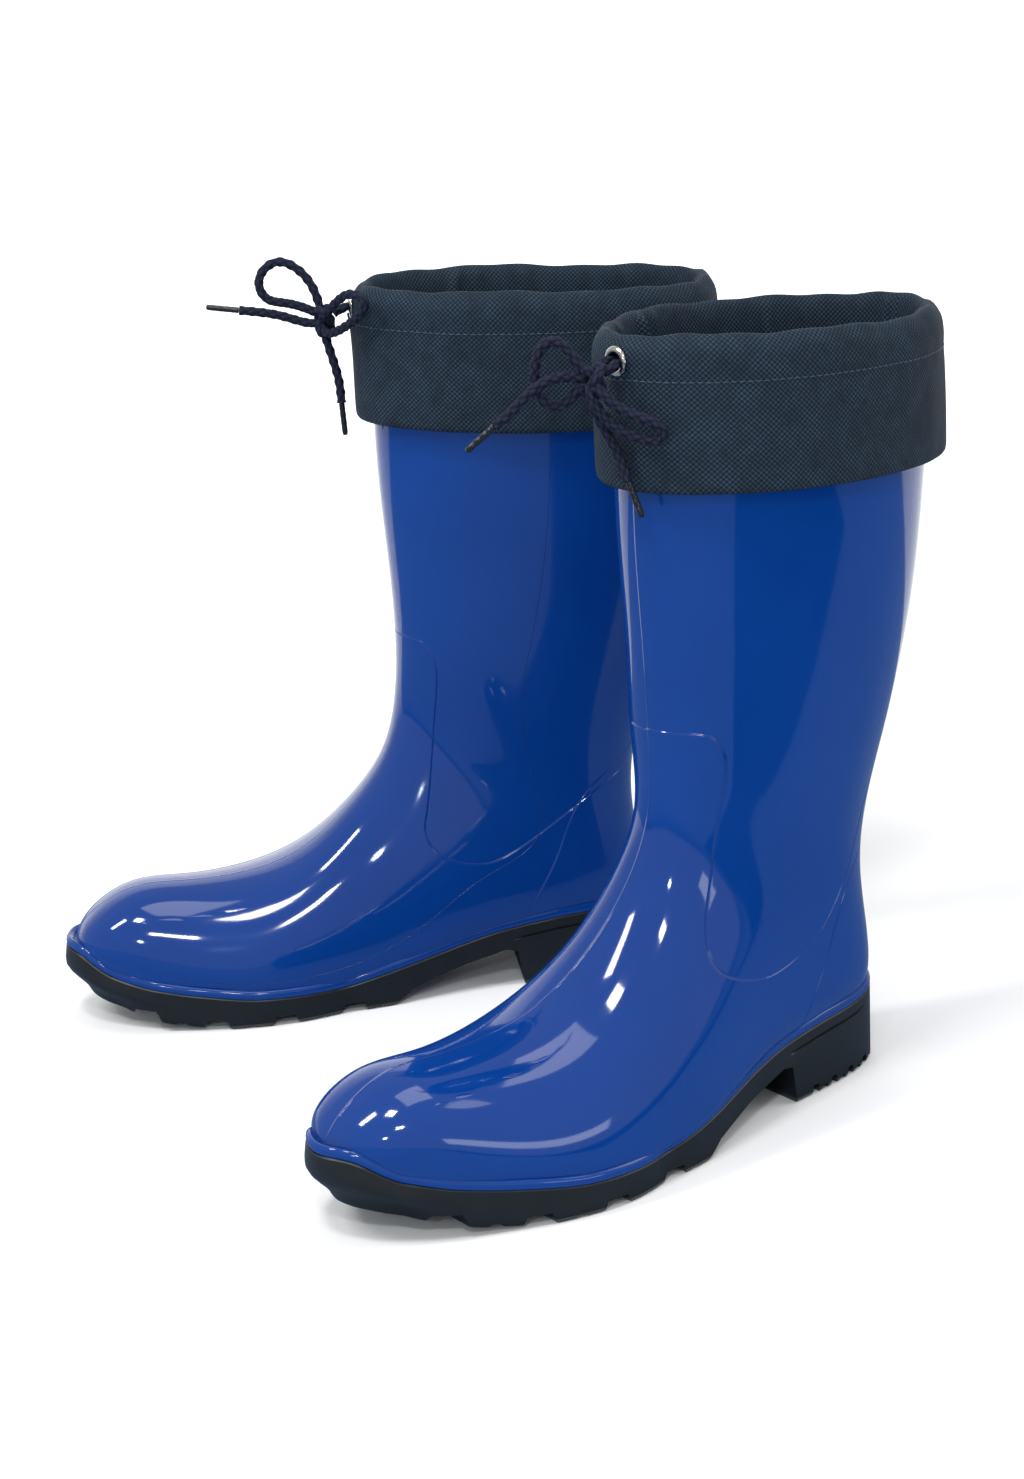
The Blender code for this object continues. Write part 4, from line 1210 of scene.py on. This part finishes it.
def makeStage():
    # a floor that curves up into a backdrop far behind
    points, y, z = [], stage["front"], 0.0
    for i in range(stage["rows"] + 1):
        points += [(-stage["halfWide"], y, z), (stage["halfWide"], y, z)]
        angle = math.pi / 2 * float(smoothStep(stage["bendFrom"], 1.0, i / stage["rows"]))
        y += stage["rowStep"] * math.cos(angle)
        z += stage["rowStep"] * math.sin(angle)
    faces = [(2 * i, 2 * i + 1, 2 * i + 3, 2 * i + 2) for i in range(stage["rows"])]
    data = bpy.data.meshes.new("paper_sweep")
    data.from_pydata(points, [], faces)
    data.shade_smooth()
    # matt seamless paper: a plain pale sheet
    material, _, _ = newMaterial("matt_seamless_paper", {
        "Base Color": linear(stage["floor"]), "Roughness": 0.9, "Specular IOR Level": 0.2})
    data.materials.append(material)
    sweep = bpy.data.objects.new("paper_sweep", data)
    bpy.context.scene.collection.objects.link(sweep)
    sweep.rotation_euler.z = math.radians(camera["azimuth"])
    world = bpy.data.worlds.new("studio")
    world.use_nodes = True
    world.node_tree.nodes["Background"].inputs["Color"].default_value = linear(stage["world"])
    world.node_tree.nodes["Background"].inputs["Strength"].default_value = stage["worldStrength"]
    bpy.context.scene.world = world
    for name, azimuth, rise, far, width, height, power, colour in lamps:
        light = bpy.data.lights.new(name, "AREA")
        light.shape = "DISK" if name == "round_flash" else "RECTANGLE"
        light.size, light.size_y = width, height
        light.energy = power
        light.color = linear(colour)[:3]
        holder = bpy.data.objects.new(name, light)
        bpy.context.scene.collection.objects.link(holder)
        azimuth, rise = math.radians(azimuth), math.radians(rise)
        out = Vector((math.cos(azimuth) * math.cos(rise), math.sin(azimuth) * math.cos(rise),
                      math.sin(rise)))
        holder.location = Vector((0, 0, 0.12)) + out * far
        if name == "backdrop_wash":
            out = holder.location - Vector(washAim)
        holder.rotation_euler = out.to_track_quat("Z", "Y").to_euler()
    for name, colour, height, corners in cards:
        # dull card, which gives the gloss its grey and dark bands
        material, _, _ = newMaterial("matt_" + name, {
            "Base Color": linear(colour), "Roughness": 1.0, "Specular IOR Level": 0.0})
        data = bpy.data.meshes.new(name)
        data.from_pydata([(x, y, height) for x, y in corners], [], [(0, 1, 2, 3)])
        data.materials.append(material)
        card = bpy.data.objects.new(name, data)
        bpy.context.scene.collection.objects.link(card)
        card.visible_camera = card.visible_diffuse = card.visible_shadow = False


makeStage()
bpy.context.scene.view_settings.view_transform = "Standard"
print("stage and lamps set")
